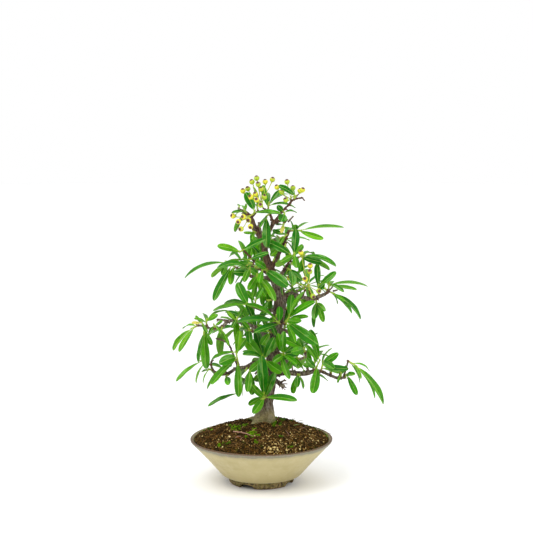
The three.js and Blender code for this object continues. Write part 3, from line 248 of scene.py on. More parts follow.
# Each row is one spray: its name, the ends of its green shoot, how many plain leaves fill it,
# and its leaves from the shoot's root to its tip: [x, y, towards the viewer] of the tip, the
# width seen in pixels (negative from below) and its arch in hundredths of its length.
SPRAYS = [
    ["crown_left", [252.5, 215.5, -1], [254.5, 211.5, 3], 0,
     [[233.5, 213, -8, 2.5, 9], [280.7, 213.6, 18, 4.5, 11], [245.3, 192.5, 8, 9, 4]]],
    ["crown_middle", [268, 210, -1], [269, 203.5, -2], 2,
     [[263, 185, -16, 6, 6], [280, 190.2, -14, 4.5, 8], [288.5, 194, -8, 4, 9]]],
    ["crown_front", [269.5, 214, 0], [266.5, 216, 5], 0,
     [[260, 227.5, 20, 3, 8], [266.9, 247.5, 14, 9, 4]]],
    ["crown_right", [294, 199.5, 2], [295.5, 196.5, 5], 0,
     [[293.5, 189, -14, 1.5, 8], [278.4, 185.7, 16, 5.5, 4]]],
    ["crown_low", [283, 210.5, 2], [284.5, 213.5, 6], 0,
     [[277.5, 205.2, 24, 6, 4], [296.7, 212.7, -14, 2, 9], [281, 221.5, 32, 9, 4]]],
    ["left_top", [243.5, 250, 8], [240.5, 251.5, 11], 0,
     [[229, 257, -14, 3, 8], [265.5, 239, 24, 5.5, 6], [217.3, 245.7, 14, 6.8, 8]]],
    ["left_twig", [252.5, 259, 5], [250, 259.5, 9], 1,
     [[268.9, 252.7, 28, 5, 12]]],
    ["left_reach", [237, 268, 9], [226.5, 261.5, 12], 0,
     [[230.4, 284.6, 26, 6.5, 4], [213.5, 300.6, 16, 7.5, 6], [211.2, 277, 28, -4.5, 8],
      [184.5, 278.3, 12, 4, 14], [222, 275, 30, 6, 8]]],
    ["left_over", [250, 275.5, 7], [250, 268.5, 11], 1,
     [[233.5, 272.5, 22, 8, 6], [217, 268.3, 22, 5.5, 22], [244, 282, 18, 6, 6]]],
    ["left_under", [257, 278.5, 5], [257, 274.5, 10], 0,
     [[256.4, 297, -10, -4, 4], [273, 293.5, 14, 7, 4], [252.2, 298, 12, 5, 4],
      [266, 296.5, 18, 6, 4], [262.5, 305, 16, 6.5, 5], [248, 290, 20, 7, 5],
      [275, 301, 8, 7, 5]]],
    ["left_face", [268.5, 269, 2], [262.5, 270, 10], 0,
     [[255.3, 261.6, 28, 6.5, 4], [288.1, 286.3, 26, 11, 6], [259, 283, 14, 6, 5]]],
    ["right_knot", [291, 258.5, 5], [294, 254, 9], 0,
     [[275.4, 265.6, 24, -6, 4], [303, 244.7, -10, 5.5, 4], [265, 241, 10, 8, 14],
      [295.9, 228.8, 14, 8, 4], [281, 262, 30, 6, 5], [297, 268, 18, 7, 5]]],
    ["right_arch", [298, 257.5, 6], [304, 255, 10], 1,
     [[322.3, 262.5, 24, 6.5, 6], [329.7, 270, -4, -5, 11], [336.2, 266.4, 12, 5, 12],
      [313, 277, 26, 7, 6], [300, 272, 8, 6, 5]]],
    ["right_dark", [286.5, 268, 3], [290, 269.5, 9], 1,
     [[301.2, 280, 22, 8, 4], [293, 285, 24, 7, 5]]],
    ["right_high", [289, 231, 0], [300.5, 230.3, 5], 0,
     [[289.5, 219.5, -16, 1.5, 8], [308.3, 222.1, -16, 2.5, 8], [295, 224.5, 28, 7, 4],
      [323.5, 238.7, 16, 6, 8], [344, 227.5, 2, 3.5, 5]]],
    ["right_middle", [319, 296.5, 9], [318.5, 285.5, 13], 0,
     [[308, 291.5, 40, 9, 3], [324.5, 283.5, 42, 5, 4], [317, 263.7, 8, 6.5, 4],
      [336, 271.7, 18, 6.5, 8]]],
    ["right_tip", [328.5, 290, 11], [329, 283.5, 13], 0,
     [[333.5, 281, -16, 4, 4], [325.5, 276, -18, 4, 4], [357, 289.6, 20, 4, 6],
      [367.8, 286.3, 8, 3.5, 7], [344, 292, 30, 4, 10]]],
    ["right_droop", [329, 291.5, 10], [333, 293, 12], 0,
     [[337.3, 303.4, -16, 1.8, 6], [352, 313.2, 0, 4, 9], [360.6, 319.3, 16, 5, 11],
      [345, 301, 6, 4, 10]]],
    ["right_hang", [316, 299.5, 8], [316.5, 302.5, 13], 0,
     [[313.7, 327.5, 4, 4, 4], [323.5, 322.1, 12, 6, 4], [314, 319.5, 24, 7, 4],
      [325.5, 311, 26, 6, 4]]],
    ["front_right", [284, 323.5, 4], [289, 317.5, 16], 0,
     [[295.5, 343, 20, 6, 4], [317.9, 344.4, 24, 11, 8], [301.5, 321, 44, 6.5, 4],
      [308.4, 316.6, 34, 4.5, 8], [315, 301.6, 26, 6.5, 8], [304.4, 291.6, 12, 4, 8],
      [291.5, 294.5, 6, 8, 5]]],
    ["front_left", [280.5, 324, 2], [277.5, 321.5, 14], 0,
     [[254, 332.4, 32, 6, 6], [279.5, 306.5, 2, 7, 6], [237, 322, 22, 6.5, 11],
      [245.5, 304.3, 14, 4.5, 12]]],
    ["trunk_foot", [266.5, 399, -8], [263.8, 396.5, -1], 0,
     [[252, 384.6, 14, 6.5, 5], [275, 372.6, 10, 8, 4], [297.2, 400.5, 14, 7, 11],
      [252.8, 413.5, 14, 8, 5], [261.5, 355.6, 8, 11, 4], [248.5, 405, 12, 6, 5]]],
    ["centre_low", [279.5, 353, 0], [284.5, 354.5, 8], 1,
     [[289.7, 379, 24, 6.5, 4], [297, 364.5, 34, 5, 4], [294, 343.5, -12, 5, 6],
      [277.7, 333.3, 16, 7, 4], [300, 352, 12, 8, 6], [284, 331, 26, 7, 6],
      [273, 362, 24, 7, 5]]],
    ["centre_left", [266.5, 361, -4], [263, 358, 8], 0,
     [[282, 372.1, 20, 10, 5], [242.7, 354.7, 30, 5, 8], [274.5, 337.3, 14, 8, 4],
      [245.1, 338.5, 18, 11, 8], [256, 331, 6, 9, 8], [250, 371, 28, 8, 6]]],
    ["left_tip", [198.5, 325.5, 14], [192.5, 328, 17], 0,
     [[182.9, 328.6, -6, 2, 11], [178.8, 351.8, 26, 5.5, 8], [173, 350.4, 14, 5, 9]]],
    ["left_tip_hang", [204.5, 328, 14], [204, 332, 18], 0,
     [[212, 345, 6, 5.5, 4], [206.5, 369, 20, 9, 5], [198.5, 362.5, 20, 4.5, 4],
      [214, 361, -6, 4, 4]]],
    ["left_tip_top", [206.5, 325.5, 14], [206.5, 320, 17], 0,
     [[203, 313, -14, 4, 6], [194, 318.5, 34, 3, 9], [218, 314.5, 26, 4.5, 6],
      [229.5, 311, -4, 1.8, 11]]],
    ["left_bridge", [222.5, 326, 12], [221.5, 329, 16], 1,
     [[229, 346, 20, 3.5, 6]]],
    ["left_centre", [252.5, 306.5, 9], [247.5, 304.5, 13], 0,
     [[285, 289.2, 18, 3.5, 8], [224, 303.6, -8, 4.5, 11], [237.7, 282.3, 24, 10, 5],
      [212.8, 310.5, 8, 4, 9]]],
    ["left_low", [238.5, 364.5, 10], [236, 352, 15], 0,
     [[238.7, 397.1, 22, 8, 4], [207, 389, 10, 4, 11], [211.5, 384.5, 26, 7, 8],
      [219, 363.7, 30, 10, 8], [239.7, 330.5, 26, 6, 4], [233.2, 313.5, 16, 6.5, 4],
      [246, 338, 4, 7, 8], [211, 360.5, 4, 4, 8]]],
    ["left_low_back", [226, 372.5, 8], [224, 369, 4], 0,
     [[209.6, 364.7, -18, 4, 9]]],
    ["left_under_low", [228.5, 374.5, 10], [226.5, 376, 14], 0,
     [[228.5, 385, 40, 6.5, 4]]],
    ["left_droop", [240, 369, 5], [238.5, 393, 8], 0,
     [[246, 383.5, -16, 5, 4], [207.9, 406.3, 16, 4, 8]]],
    ["left_low_end", [211, 365, 11], [201.5, 361, 9], 0,
     [[213, 352, -14, 4, 4], [196, 383, 4, 2, 8], [176.2, 381.5, 14, 3.8, 4]]],
    ["left_low_middle", [249, 367.5, 4], [250.5, 371, 9], 1,
     [[247.2, 392, 22, 7, 4], [256, 357, 28, 8, 5],
      [252, 395, 10, 7, 5], [258, 385, 16, 8, 5]]],
    ["right_low", [314.5, 371, 2], [319.5, 361, 9], 0,
     [[306, 358, 34, 7, 4], [312.5, 393.3, 16, 9.5, 6], [305.4, 344.8, 18, 5, 6],
      [310, 329.6, -4, 8, 10]]],
    ["right_low_tip", [321, 371, 4], [323, 362, 10], 0,
     [[338.8, 373.4, 0, 3.5, 8], [332, 348.4, -18, 1.5, 11], [348.6, 368.7, 26, 7, 9],
      [338.4, 353, 28, 7.5, 11], [334, 369, 34, 7, 6]]],
    ["right_inner", [305.5, 352.5, 4], [304, 348.5, 7], 1,
     [[298.5, 338, -20, 5, 4], [283, 338.6, 8, 8, 8], [291, 352, 18, 8, 6]]],
    ["right_under", [303.5, 374, -4], [304.5, 371, -8], 2,
     [[290.6, 356.9, -16, 4, 12]]],
    ["right_low_hang", [297, 374, 0], [299, 374.5, 5], 0,
     [[293, 393.5, -10, 6, 4], [297, 387.5, 24, 6, 5], [303.3, 389, 10, 3, 10]]],
    ["right_end", [348, 361, 6], [356, 365.5, 9], 0,
     [[360.2, 383.3, -8, 1.8, 6], [369.6, 371.3, -8, 1.8, 14], [361, 378.8, 26, 3, 6],
      [374.9, 398.5, 4, 3, 8], [383.4, 404.3, 18, 6, 11], [364, 391, 14, 4, 10]]],
    ["right_end_low", [345, 377.6, 5], [346.5, 374.5, 9], 0,
     [[355.3, 374.4, 36, 4, 8], [357, 395, 14, 6, 8]]],
    ["back_1", [243, 328, -64], [240, 327, -70], 5, []],
    ["back_2", [252, 330.5, -48], [252, 322, -56], 5, []],
    ["back_3", [305, 287, -58], [308, 285, -66], 5, []],
    ["back_4", [293, 292, -31], [292, 283, -38], 5, []],
    ["back_5", [303, 358, -64], [306, 356, -71], 5, []],
    ["back_6", [288, 361, -39], [290, 352, -46], 5, []],
    ["back_7", [246, 266, -46], [243, 264, -53], 5, []],
    ["back_8", [283, 238, -42], [286, 240, -50], 5, []],
]

# Young shoots among the sprays, by the piece they join: the ends of each shoot and its leaves,
# as in the rows of sprays.
YOUNG_SHOOTS = {
    "young_crown": [
        [[258, 211, -1], [257, 206, 1], [[253, 186.5, -10, 3.5, 6], [262.5, 190, -12, 5, 5],
          [248, 199, -6, 3.5, 8]]],
        [[247.5, 214, -2], [244.5, 210.5, 0], [[231.5, 213, 4, 2.2, 12], [238, 205.5, -6, 2.4, 10],
          [246, 203.5, -4, 2.5, 6], [236, 217, -8, 2.2, 10]]],
        [[257, 233, -1], [253.5, 231.5, 3], [[243.5, 232.5, 5, 3, 6], [252, 239, 1, 3, 6],
          [247, 226, -6, 2.5, 6]]],
        [[284, 222, 0], [283, 226, 3], [[281, 233, 6, 4, 4], [275.5, 224, 0, 2.5, 8],
          [288, 219, -6, 2, 8]]],
        [[288, 234, 1], [285, 236, 4], [[272.5, 230, 6, 4.5, 6], [280, 243, 2, 4, 5]]],
        [[294, 199.5, 2], [294.5, 196, 5], [[284.5, 192.5, 4, 4, 5], [299, 188, 2, 2.2, 8],
          [290.5, 189.5, -4, 2.5, 6]]],
    ],
    "young_upper": [
        [[280, 250, 2], [277.5, 248, 8], [[268, 245.5, 6, 4.5, 6], [284.5, 238, 4, 4.5, 5],
          [270.5, 256, 12, 5, 5], [276, 236.5, 0, 4, 6]]],
        [[286, 243, 1], [285, 246.5, 6], [[282.5, 262, 12, 7, 5], [290.5, 261, 8, 6, 5],
          [275, 250.5, 2, 5, 8], [279, 256, 6, 5, 6]]],
        [[291, 261.5, 1], [292, 264, 6], [[286.5, 275, 10, 6.5, 5], [298, 278, 4, 6, 5],
          [280.5, 268, 2, 5.5, 6], [304, 271, -6, 5, 6], [289, 272, 0, 6, 6]]],
        [[253, 264, 5], [250, 263, 9], [[242.5, 258, 0, 4, 6], [246, 271.5, -4, 5, 6],
          [238, 263.5, -8, 5, 8]]],
        [[273, 262, 2], [274, 259, 8], [[291, 252.5, 14, 4, 6], [282, 249.5, 0, 4.5, 5],
          [265, 254.5, 10, 4, 6]]],
        [[262, 277, 1], [259, 276, 7], [[249, 268.5, 4, 6, 6], [267, 289, 16, 6, 5],
          [253.5, 288, 4, 5, 5], [243.5, 273.5, 0, 6, 6]]],
    ],
    "young_middle": [
        [[255, 304, 5], [256, 299, 12], [[285, 289, 22, 3.5, 6], [246, 291, 12, 6, 6],
          [263, 287.5, 6, 5, 6], [243, 298.5, 4, 5, 6]]],
        [[272, 300, 4], [268, 300, 10], [[258, 293, 6, 6, 5], [262, 311, 8, 5.5, 5],
          [255, 313, 4, 5, 6]]],
        [[286, 309, 2], [288, 306.5, 7], [[297.5, 303, 0, 6, 5], [283, 296.5, 6, 6, 5],
          [293.5, 314, 10, 5, 6]]],
        [[300, 297, 2], [301, 300, 8], [[295, 311, 2, 5.5, 5], [308, 307, 10, 6, 5],
          [289, 303, 0, 5, 6]]],
        [[279, 338, -2], [277, 337, 8], [[270, 352, 14, 6, 5], [286, 350.5, 12, 5.5, 5],
          [272, 326, 8, 5, 6], [284.5, 327.5, 10, 5, 5], [280, 355, 6, 5, 6]]],
        [[279, 317, 1], [276.5, 315, 9], [[268, 310, 8, 5, 5], [285.5, 311, 10, 4.5, 5],
          [269.5, 321.5, 12, 5, 6], [280.5, 330.5, 14, 5, 5], [275, 304, 4, 5, 6]]],
        [[272, 333, 1], [268, 331, 9], [[257.5, 325, 2, 6, 6], [261.5, 345, 10, 8, 5],
          [270, 349, 12, 7.5, 5], [264, 317.5, 0, 5.5, 5], [276.5, 345, 2, 6, 5]]],
        [[252, 331, 4], [249, 329, 9], [[242.5, 321.5, 4, 5, 6], [245.5, 336.5, 10, 5, 6],
          [254.5, 317, 0, 5, 6], [239.5, 329.5, -4, 4, 8], [250, 343, 2, 7, 6]]],
    ],
    "young_low": [
        [[292, 361, 1], [292, 356.5, 7], [[283, 348.5, 2, 7, 6], [301.5, 348, 8, 4.5, 6],
          [297.5, 367, 12, 6, 5], [287, 369.5, 8, 6, 5], [281, 358, 0, 6, 6]]],
        [[313.5, 369, 3], [314, 363, 9], [[306.5, 350, 4, 6, 5], [322.5, 350.5, 0, 5, 6],
          [303, 364.5, 8, 5, 6], [309, 376, 6, 5, 5], [315.5, 350, -6, 5, 6]]],
        [[266, 372, -2], [264, 371, 7], [[253, 364.5, 2, 7, 5], [271.5, 385, 14, 7, 5],
          [254.5, 381, 2, 7, 5], [278, 379, 6, 5, 5]]],
        [[247.5, 366, 4], [246, 370, 8], [[241.5, 385, 0, 5, 5], [253.5, 383.5, 10, 5.5, 5],
          [237.5, 376, -4, 5, 6], [257.5, 391.5, 2, 5, 6]]],
        [[233.5, 357.5, 9], [231, 357, 12], [[225.5, 344, -2, 6, 6], [228, 366, 0, 7, 6],
          [242, 363.5, 4, 6, 6]]],
        [[266, 398, -6], [262, 399, 1], [[246.5, 389, 6, 4, 6], [258.5, 413, 8, 5, 5]]],
    ],
    "young_right": [
        [[341, 377.5, 4], [341, 372.5, 8], [[333.5, 366, 4, 4, 6], [346.5, 365.5, 2, 4, 5],
          [352, 373, 8, 3, 6], [337.5, 383, 4, 2.5, 6], [357, 381.5, 4, 2, 8]]],
        [[331, 373.5, 5], [332, 370, 9], [[325.5, 363.5, 2, 3.5, 6], [339, 362, -2, 3.5, 8],
          [327, 379.5, 6, 3, 5]]],
        [[348, 361, 5], [350.5, 363, 8], [[343, 357, 2, 3, 5], [355.5, 371, 2, 3, 5],
          [359, 359.5, -4, 2, 8], [364.5, 385, 2, 3, 8], [347, 371.5, 0, 3, 5]]],
        [[327, 291, 10], [325, 288, 13], [[317, 283, 10, 5, 6], [330, 276.5, 2, 5, 5],
          [320.5, 299, 12, 5, 5], [336, 286.5, 2, 3.5, 6]]],
        [[305, 290, 6], [303, 287.5, 9], [[297.5, 291, 14, 1.6, 8], [293, 288.5, 10, 1.4, 8],
          [308.5, 279, 4, 2, 6], [294, 282, 4, 1.6, 10], [301.5, 296, 14, 1.6, 6]]],
    ],
    "young_left": [
        [[203.5, 325.5, 14], [202, 322.5, 17], [[195.5, 315.5, 12, 3, 6], [209.5, 315.5, 12, 4, 6],
          [213, 323, 18, 4, 6], [191.5, 322.5, 20, 3, 8], [207.5, 332.5, 22, 4, 5]]],
        [[215, 328, 13], [214, 325, 16], [[205.5, 319, 14, 3.5, 6], [222.5, 320.5, 12, 3, 6],
          [209, 335, 20, 4, 6], [221, 334, 14, 3, 6]]],
        [[236.5, 322, 9], [237, 318, 13], [[227, 311.5, 8, 4, 8], [243, 309, 6, 5, 6],
          [231.5, 328, 16, 4, 6]]],
        [[212.5, 370, 11], [209, 369, 14], [[201.5, 372, 8, 2, 10], [214, 355, 4, 4, 6],
          [218.5, 380, 4, 4, 5], [203, 384, 6, 1.5, 10]]],
    ],
}

# How yellow each spray's green is, from 0, deep and cool, to 1.
WARMTH = {
    "crown_left": 0.15, "crown_middle": 0.2, "crown_front": 0.2,
    "crown_right": 0.35, "crown_low": 0.2, "left_top": 0.5,
    "left_reach": 0.55, "left_under": 0.5, "right_high": 0.45,
    "right_middle": 0.25, "right_arch": 0.3, "right_hang": 0.6,
    "right_tip": 0.5, "right_droop": 0.35, "left_tip": 0.85,
    "left_tip_hang": 0.6, "left_tip_top": 0.5, "left_low_end": 0.75,
    "left_low": 0.45, "left_centre": 0.4, "right_end": 0.6,
    "right_low": 0.35, "front_right": 0.35, "front_left": 0.2,
}

YOUNG_WARMTH = {
    "young_crown": 0.65, "young_upper": 0.5, "young_middle": 0.45, "young_low": 0.5,
    "young_right": 0.6, "young_left": 0.75, "young_back": 0.4, "young_behind": 0.35,
}


# Growth


def on_sight_line(x, y, towards):
    """The point on the line of sight of a pixel, at a distance towards the viewer."""
    right = (x - PHOTO_CENTRE) / FOCAL_PIXELS
    up = (PHOTO_CENTRE - y) / FOCAL_PIXELS
    forward = cos(EYE_PITCH) + up * sin(EYE_PITCH)
    rise = up * cos(EYE_PITCH) - sin(EYE_PITCH)
    reach = (-towards - EYE[1]) / forward
    return np.array([EYE[0] + right * reach, -towards, EYE[2] + rise * reach])


def seeded_draws(seed):
    """A source of repeatable draws between 0 and 1."""
    state = seed
    while True:
        state = state * 16807 % 2147483647
        yield state / 2147483647


def seen_at(point):
    """The pixel of the photograph at which a point is seen."""
    offset = point - EYE
    depth = offset[1] * cos(EYE_PITCH) - offset[2] * sin(EYE_PITCH)
    rise = offset[1] * sin(EYE_PITCH) + offset[2] * cos(EYE_PITCH)
    return (PHOTO_CENTRE + FOCAL_PIXELS * offset[0] / depth,
            PHOTO_CENTRE - FOCAL_PIXELS * rise / depth)


def held(value):
    """Values kept from 0 to 1."""
    return np.clip(value, 0, 1)


def mixed(a, b, share):
    return a * (1 - share) + b * share


def unit(v):
    return v / np.linalg.norm(v)


def square_to(direction, axis):
    """The part of a direction that is square to another one, as a unit vector."""
    return unit(direction - axis * direction.dot(axis))


def any_square(axis):
    """A unit vector square to an axis, by the upright or, for a steep axis, by +X."""
    return square_to(np.array([1.0, 0, 0] if abs(axis[2]) > STEEP else [0, 0, 1.0]), axis)


def along_limb(limb, steps_between):
    """Points and radii along a limb, on a smooth curve through the limb's own points."""
    knots = [on_sight_line(*row[:3]) for row in limb]
    radii = [row[3] for row in limb]
    points, girths = [], []
    for i in range(len(knots) - 1):
        p, q = knots[max(i - 1, 0)], knots[i]
        r, s = knots[i + 1], knots[min(i + 2, len(knots) - 1)]
        for step in range(steps_between):
            t = step / steps_between
            bend = 2 * p - 5 * q + 4 * r - s + t * (3 * (q - r) + s - p)
            points.append(q + 0.5 * t * (r - p + t * bend))
            girths.append(radii[i] + (radii[i + 1] - radii[i]) * t)
    points.append(knots[-1])
    girths.append(radii[-1])
    return np.array(points), np.array(girths, float)


def soil_height(x, y):
    """The height of the soil over the ground plane at a place from the pot's axis."""
    reach = np.minimum(np.hypot(x, y) / SOIL_REACH, 1)
    lump = LUMP_HEIGHT * np.exp(-((x - LUMP_X) ** 2 + (y - LUMP_Y) ** 2) / LUMP_SPREAD)
    clods = np.sin(x * 0.31 + 1.3) * np.sin(y * 0.27) + 0.5 * np.sin(x * 0.6 - y * 0.5)
    rise = SOIL_CROWN * (1 - reach ** 2.6)
    return SOIL_EDGE_HEIGHT + rise + (lump + CLOD_HEIGHT * clods) * (1 - reach ** 4)


class Room:
    """Balls taken up by what has grown so far."""

    def __init__(self):
        self.points = np.empty((0, 3))
        self.marks = np.empty((0, 3))

    def take(self, points, radius, share, owner):
        """Takes up balls; a mark is a ball's radius, its share of its leaf and its owner."""
        marks = np.empty((len(points), 3))
        marks[:, 0], marks[:, 1], marks[:, 2] = radius, share, owner
        self.points = np.vstack([self.points, points])
        self.marks = np.vstack([self.marks, marks])

    def clears(self, points, shares, owner):
        """Whether a leaf's balls clear all that others have taken, and its own outer leaves."""
        low, high = points.min(0) - WIDEST_NEIGHBOUR, points.max(0) + WIDEST_NEIGHBOUR
        near = ((self.points > low) & (self.points < high)).all(axis=1)
        radius, share, other = self.marks[near].T
        apart = np.linalg.norm(points[:, None] - self.points[near][None], axis=2)
        close = apart <= LEAF_BALL + radius + GAP
        shared = (other == owner) & (np.minimum(shares[:, None], share) < SHARED_FOOT)
        rooted = (other == WOOD) & (shares[:, None] < SHARED_FOOT * 0.6)
        return not (close & ~shared & ~rooted).any()


class Leaf:
    """A leaf from its base to its tip, with the direction that its upper face looks in."""

    def __init__(self, base, tip, width, face, arch, sweep):
        self.base, self.tip, self.width, self.face = base, tip, width, face
        self.arch, self.sweep = arch, sweep
        self.run = tip - base
        self.length = np.linalg.norm(self.run)
        self.chord = self.run / self.length
        self.side = np.cross(face, self.chord)

    def points(self, shares):
        bow = (4 * shares * (1 - shares) * self.length)[:, None]
        lift = self.face * self.arch + self.side * self.sweep
        return self.base + self.run * shares[:, None] + lift * bow

    def half_widths(self, shares):
        """The blade's outline, drawn out to both ends from past its middle."""
        along = held((shares - OUTLINE_FOOT) / (1 - OUTLINE_FOOT))
        outline = along ** OUTLINE_RISE * np.sqrt(1 - along) / OUTLINE_PEAK
        return 0.5 * self.width * outline

    def balls(self):
        """Balls that stand for the leaf when room is looked for, with their shares."""
        shares = np.arange(1, LEAF_BALLS + 1) / LEAF_BALLS
        middles = self.points(shares)
        halves = np.maximum(self.half_widths(np.minimum(shares, 0.97)), STALK_DIAMETER / 2)
        points, kept = [], []
        for share, middle, half in zip(shares, middles, halves):
            for across in (-0.85, -0.3, 0.3, 0.85) if half > 1.2 else (0,):
                points.append(middle + self.side * across * half)
                kept.append(share)
        return np.array(points), np.array(kept)


def seen_leaf(seat, tip, seen_pixels, arch, sweep):
    """A leaf from its seat to its tip, turned so that it shows a given width to the viewer."""
    chord = unit(tip - seat)
    base = seat + chord * SEAT_DEPTH
    seen = seen_pixels * MM_PER_PIXEL
    width = max(abs(seen), BLADE_RATIO * np.linalg.norm(tip - base))
    to_viewer = square_to(unit(EYE - base), chord)
    upwards = np.cross(chord, to_viewer)
    if upwards[2] < 0:
        upwards = -upwards
    facing = seen / width
    face = to_viewer * facing + upwards * sqrt(1 - facing * facing)
    return Leaf(base, tip, width, face, arch, sweep)


def plain_leaf(seat, axis, turn, lean, length, roll, arch):
    """A plain leaf that leaves its shoot at a turn, drooping and leaning to the back."""
    across = any_square(axis)
    beside = np.cross(axis, across)
    spread = across * cos(turn) + beside * sin(turn)
    chord = unit(axis * cos(lean) + spread * sin(lean) + (0, BACK_LEAN, -DROOP))
    upper = square_to(np.array([0, 0, 1.0]), chord)
    face = upper * cos(roll) + np.cross(chord, upper) * sin(roll)
    base = seat + chord * SEAT_DEPTH
    return Leaf(base, base + chord * length, BLADE_RATIO * 1.1 * length, face, arch, 0)


def between(a, b):
    """Points along a straight stretch, at the spacing of balls."""
    steps = ceil(np.linalg.norm(b - a) / BALL_SPACING)
    return np.array([mixed(a, b, i / steps) for i in range(steps + 1)])


class Bunch:
    """A bunch: its rachis from the wood, and each berry's middle, calyx direction and knot."""

    def __init__(self, row, number):
        draw = seeded_draws(SEED * (number + 3))
        self.root = on_sight_line(*row[1])
        self.centres = [on_sight_line(*middle) for middle in row[2]]
        self.end = mixed(self.root, np.mean(self.centres, axis=0), 0.4)
        last = len(self.centres) - 1
        self.knots = [mixed(self.root, self.end, 0.35 + 0.65 * i / last) for i in range(last + 1)]
        self.axes = []
        for centre, knot in zip(self.centres, self.knots):
            turn = np.array([next(draw) - 0.5, -0.8 + 0.5 * (next(draw) - 0.5), 0.5 * next(draw)])
            self.axes.append(unit(unit(centre - knot) * 0.7 + turn))
        self.seats = [c - a * BERRY_DIAMETER / 2 for c, a in zip(self.centres, self.axes)]


class Plant:
    """All that grows, worked out once: limbs, twigs, bunches, shoots and leaves."""

    def __init__(self):
        self.limbs = [along_limb(limb, WOOD_STEPS) for limb in LIMBS]
        self.wood = np.vstack([points for points, _ in self.limbs])
        self.girths = np.concatenate([girths for _, girths in self.limbs])
        self.shoots = [(on_sight_line(*row[1]), on_sight_line(*row[2])) for row in SPRAYS]
        self.bunches = [Bunch(row, number) for number, row in enumerate(BUNCHES)]
        seats = [root for root, _ in self.shoots] + [bunch.root for bunch in self.bunches]
        young = [(name, on_sight_line(*root), on_sight_line(*end), 0, rows)
                 for name, shoots in YOUNG_SHOOTS.items() for root, end, rows in shoots]
        twigs, late = ([twig for twig in map(self.twig_to, places) if twig]
                       for places in (seats, [row[1] for row in young]))
        self.twigs = twigs + late
        self.room = Room()
        self.room.take(self.wood, self.girths, 1, WOOD)
        for foot, end, _ in twigs:
            self.room.take(between(foot, end), TWIG_END, 1, WOOD)
        for bunch in self.bunches:
            self.room.take(np.array(bunch.centres), BERRY_DIAMETER / 2, 1, FRUIT)
            for knot, seat in zip(bunch.knots, bunch.seats):
                self.room.take(between(knot, seat), STALK_DIAMETER / 2, 1, FRUIT)
            self.room.take(between(bunch.root, bunch.end), STALK_DIAMETER, 1, FRUIT)
        for number, shoot in enumerate(self.shoots):
            self.room.take(between(*shoot), SHOOT_DIAMETER / 2, 0, number)
        self.leaves = [self.seen_leaves(number, self.shoots[number], row[4])
                       for number, row in enumerate(SPRAYS)]
        for number, leaves in enumerate(self.leaves):
            leaves += self.plain_leaves(number, self.shoots[number], SPRAYS[number][3])
        self.young = young + self.back_shoots()
        self.young_leaves = [self.dress_young(YOUNG + number, *row[1:])
                             for number, row in enumerate(self.young)]

    def back_shoots(self):
        """Young shoots behind the tree: along its back branches and up the back of its trunk."""
        rows = []
        for (points, _), limb in zip(self.limbs, LIMBS):
            if limb[-1][2] > BACK_BRANCH:
                continue
            for k, share in enumerate(BACK_SHARES):
                at = int(share * (len(points) - 2))
                ahead = unit(points[at + 1] - points[at])
                across = unit(np.cross(ahead, (0, 0, 1))) * (1 if k % 2 else -1)
                way = unit(across + ahead * 0.5 + (0, 0.3, 0.5))
                rows.append(("young_back", points[at], points[at] + way * 7, BACK_LEAVES, []))
        trunk, girths = self.limbs[0]
        for k, height in enumerate(range(*TRUNK_SHOOTS)):
            at = int(np.abs(trunk[:, 2] - height).argmin())
            turn = (k % 3 - 1) * 1.1
            way = unit(np.array([sin(turn), cos(turn), 0.35]))
            foot = trunk[at] + way * girths[at] * 0.8
            rows.append(("young_behind", foot, foot + way * 8, BACK_LEAVES, []))
        return rows

    def dress_young(self, number, start, end, plain, rows):
        self.room.take(between(start, end), SHOOT_DIAMETER / 2, 0, number)
        leaves = self.seen_leaves(number, (start, end), rows)
        return leaves + self.plain_leaves(number, (start, end), plain)

    def twig_to(self, place):
        """A twig from the nearest wood to a place that stands off it, or None."""
        away = np.linalg.norm(self.wood - place, axis=1) - self.girths
        nearest = int(away.argmin())
        if away[nearest] < 1:
            return None
        return self.wood[nearest], place, min(TWIG_DIAMETER / 2, self.girths[nearest])

    def settled(self, tries, number, hidden=False):
        """The first of a row of tried leaves that has room, which it then takes up."""
        for leaf in tries:
            points, shares = leaf.balls()
            over_pot = np.hypot(points[:, 0], points[:, 1]) < RIM_DIAMETER / 2 + 4
            low = points[:, 2] <= soil_height(points[:, 0], points[:, 1]) + 3
            if (over_pot & low).any() or (number >= YOUNG and not self.kept_form(leaf, hidden)):
                continue
            if self.room.clears(points, shares, number):
                self.room.take(points, LEAF_BALL, shares, number)
                return [leaf]
        return []

    def kept_form(self, leaf, hidden):
        """Whether a young leaf keeps inside the tree's box and, if hidden, behind its middle."""
        x, y = seen_at(leaf.tip)
        inside = not hidden or FORM_LEFT < x < FORM_RIGHT and FORM_TOP < y < FORM_FOOT
        reach = (leaf.tip + AXIS) * MM
        low, high = np.array(SOLID_BOX[0]), np.array(SOLID_BOX[1])
        boxed = (reach > low + FORM_MARGIN).all() and (reach < high - FORM_MARGIN).all()
        return boxed and inside

    def seen_leaves(self, number, shoot, rows):
        """The leaves of a shoot's rows, which slide along their sight lines to find room."""
        draw = seeded_draws(SEED * (number + 11))
        leaves = []
        for i, (x, y, towards, seen, arch) in enumerate(rows):
            seat = mixed(*shoot, FIRST_SEAT + 0.7 * i / (len(rows) - 1) if len(rows) > 1 else 1)
            sweep = 0.08 * (next(draw) - 0.5)
            leaves += self.settled(
                (seen_leaf(seat, on_sight_line(x, y, towards + slide), seen, arch / 100, sweep)
                 for slide in SLIDES), number)
        return leaves

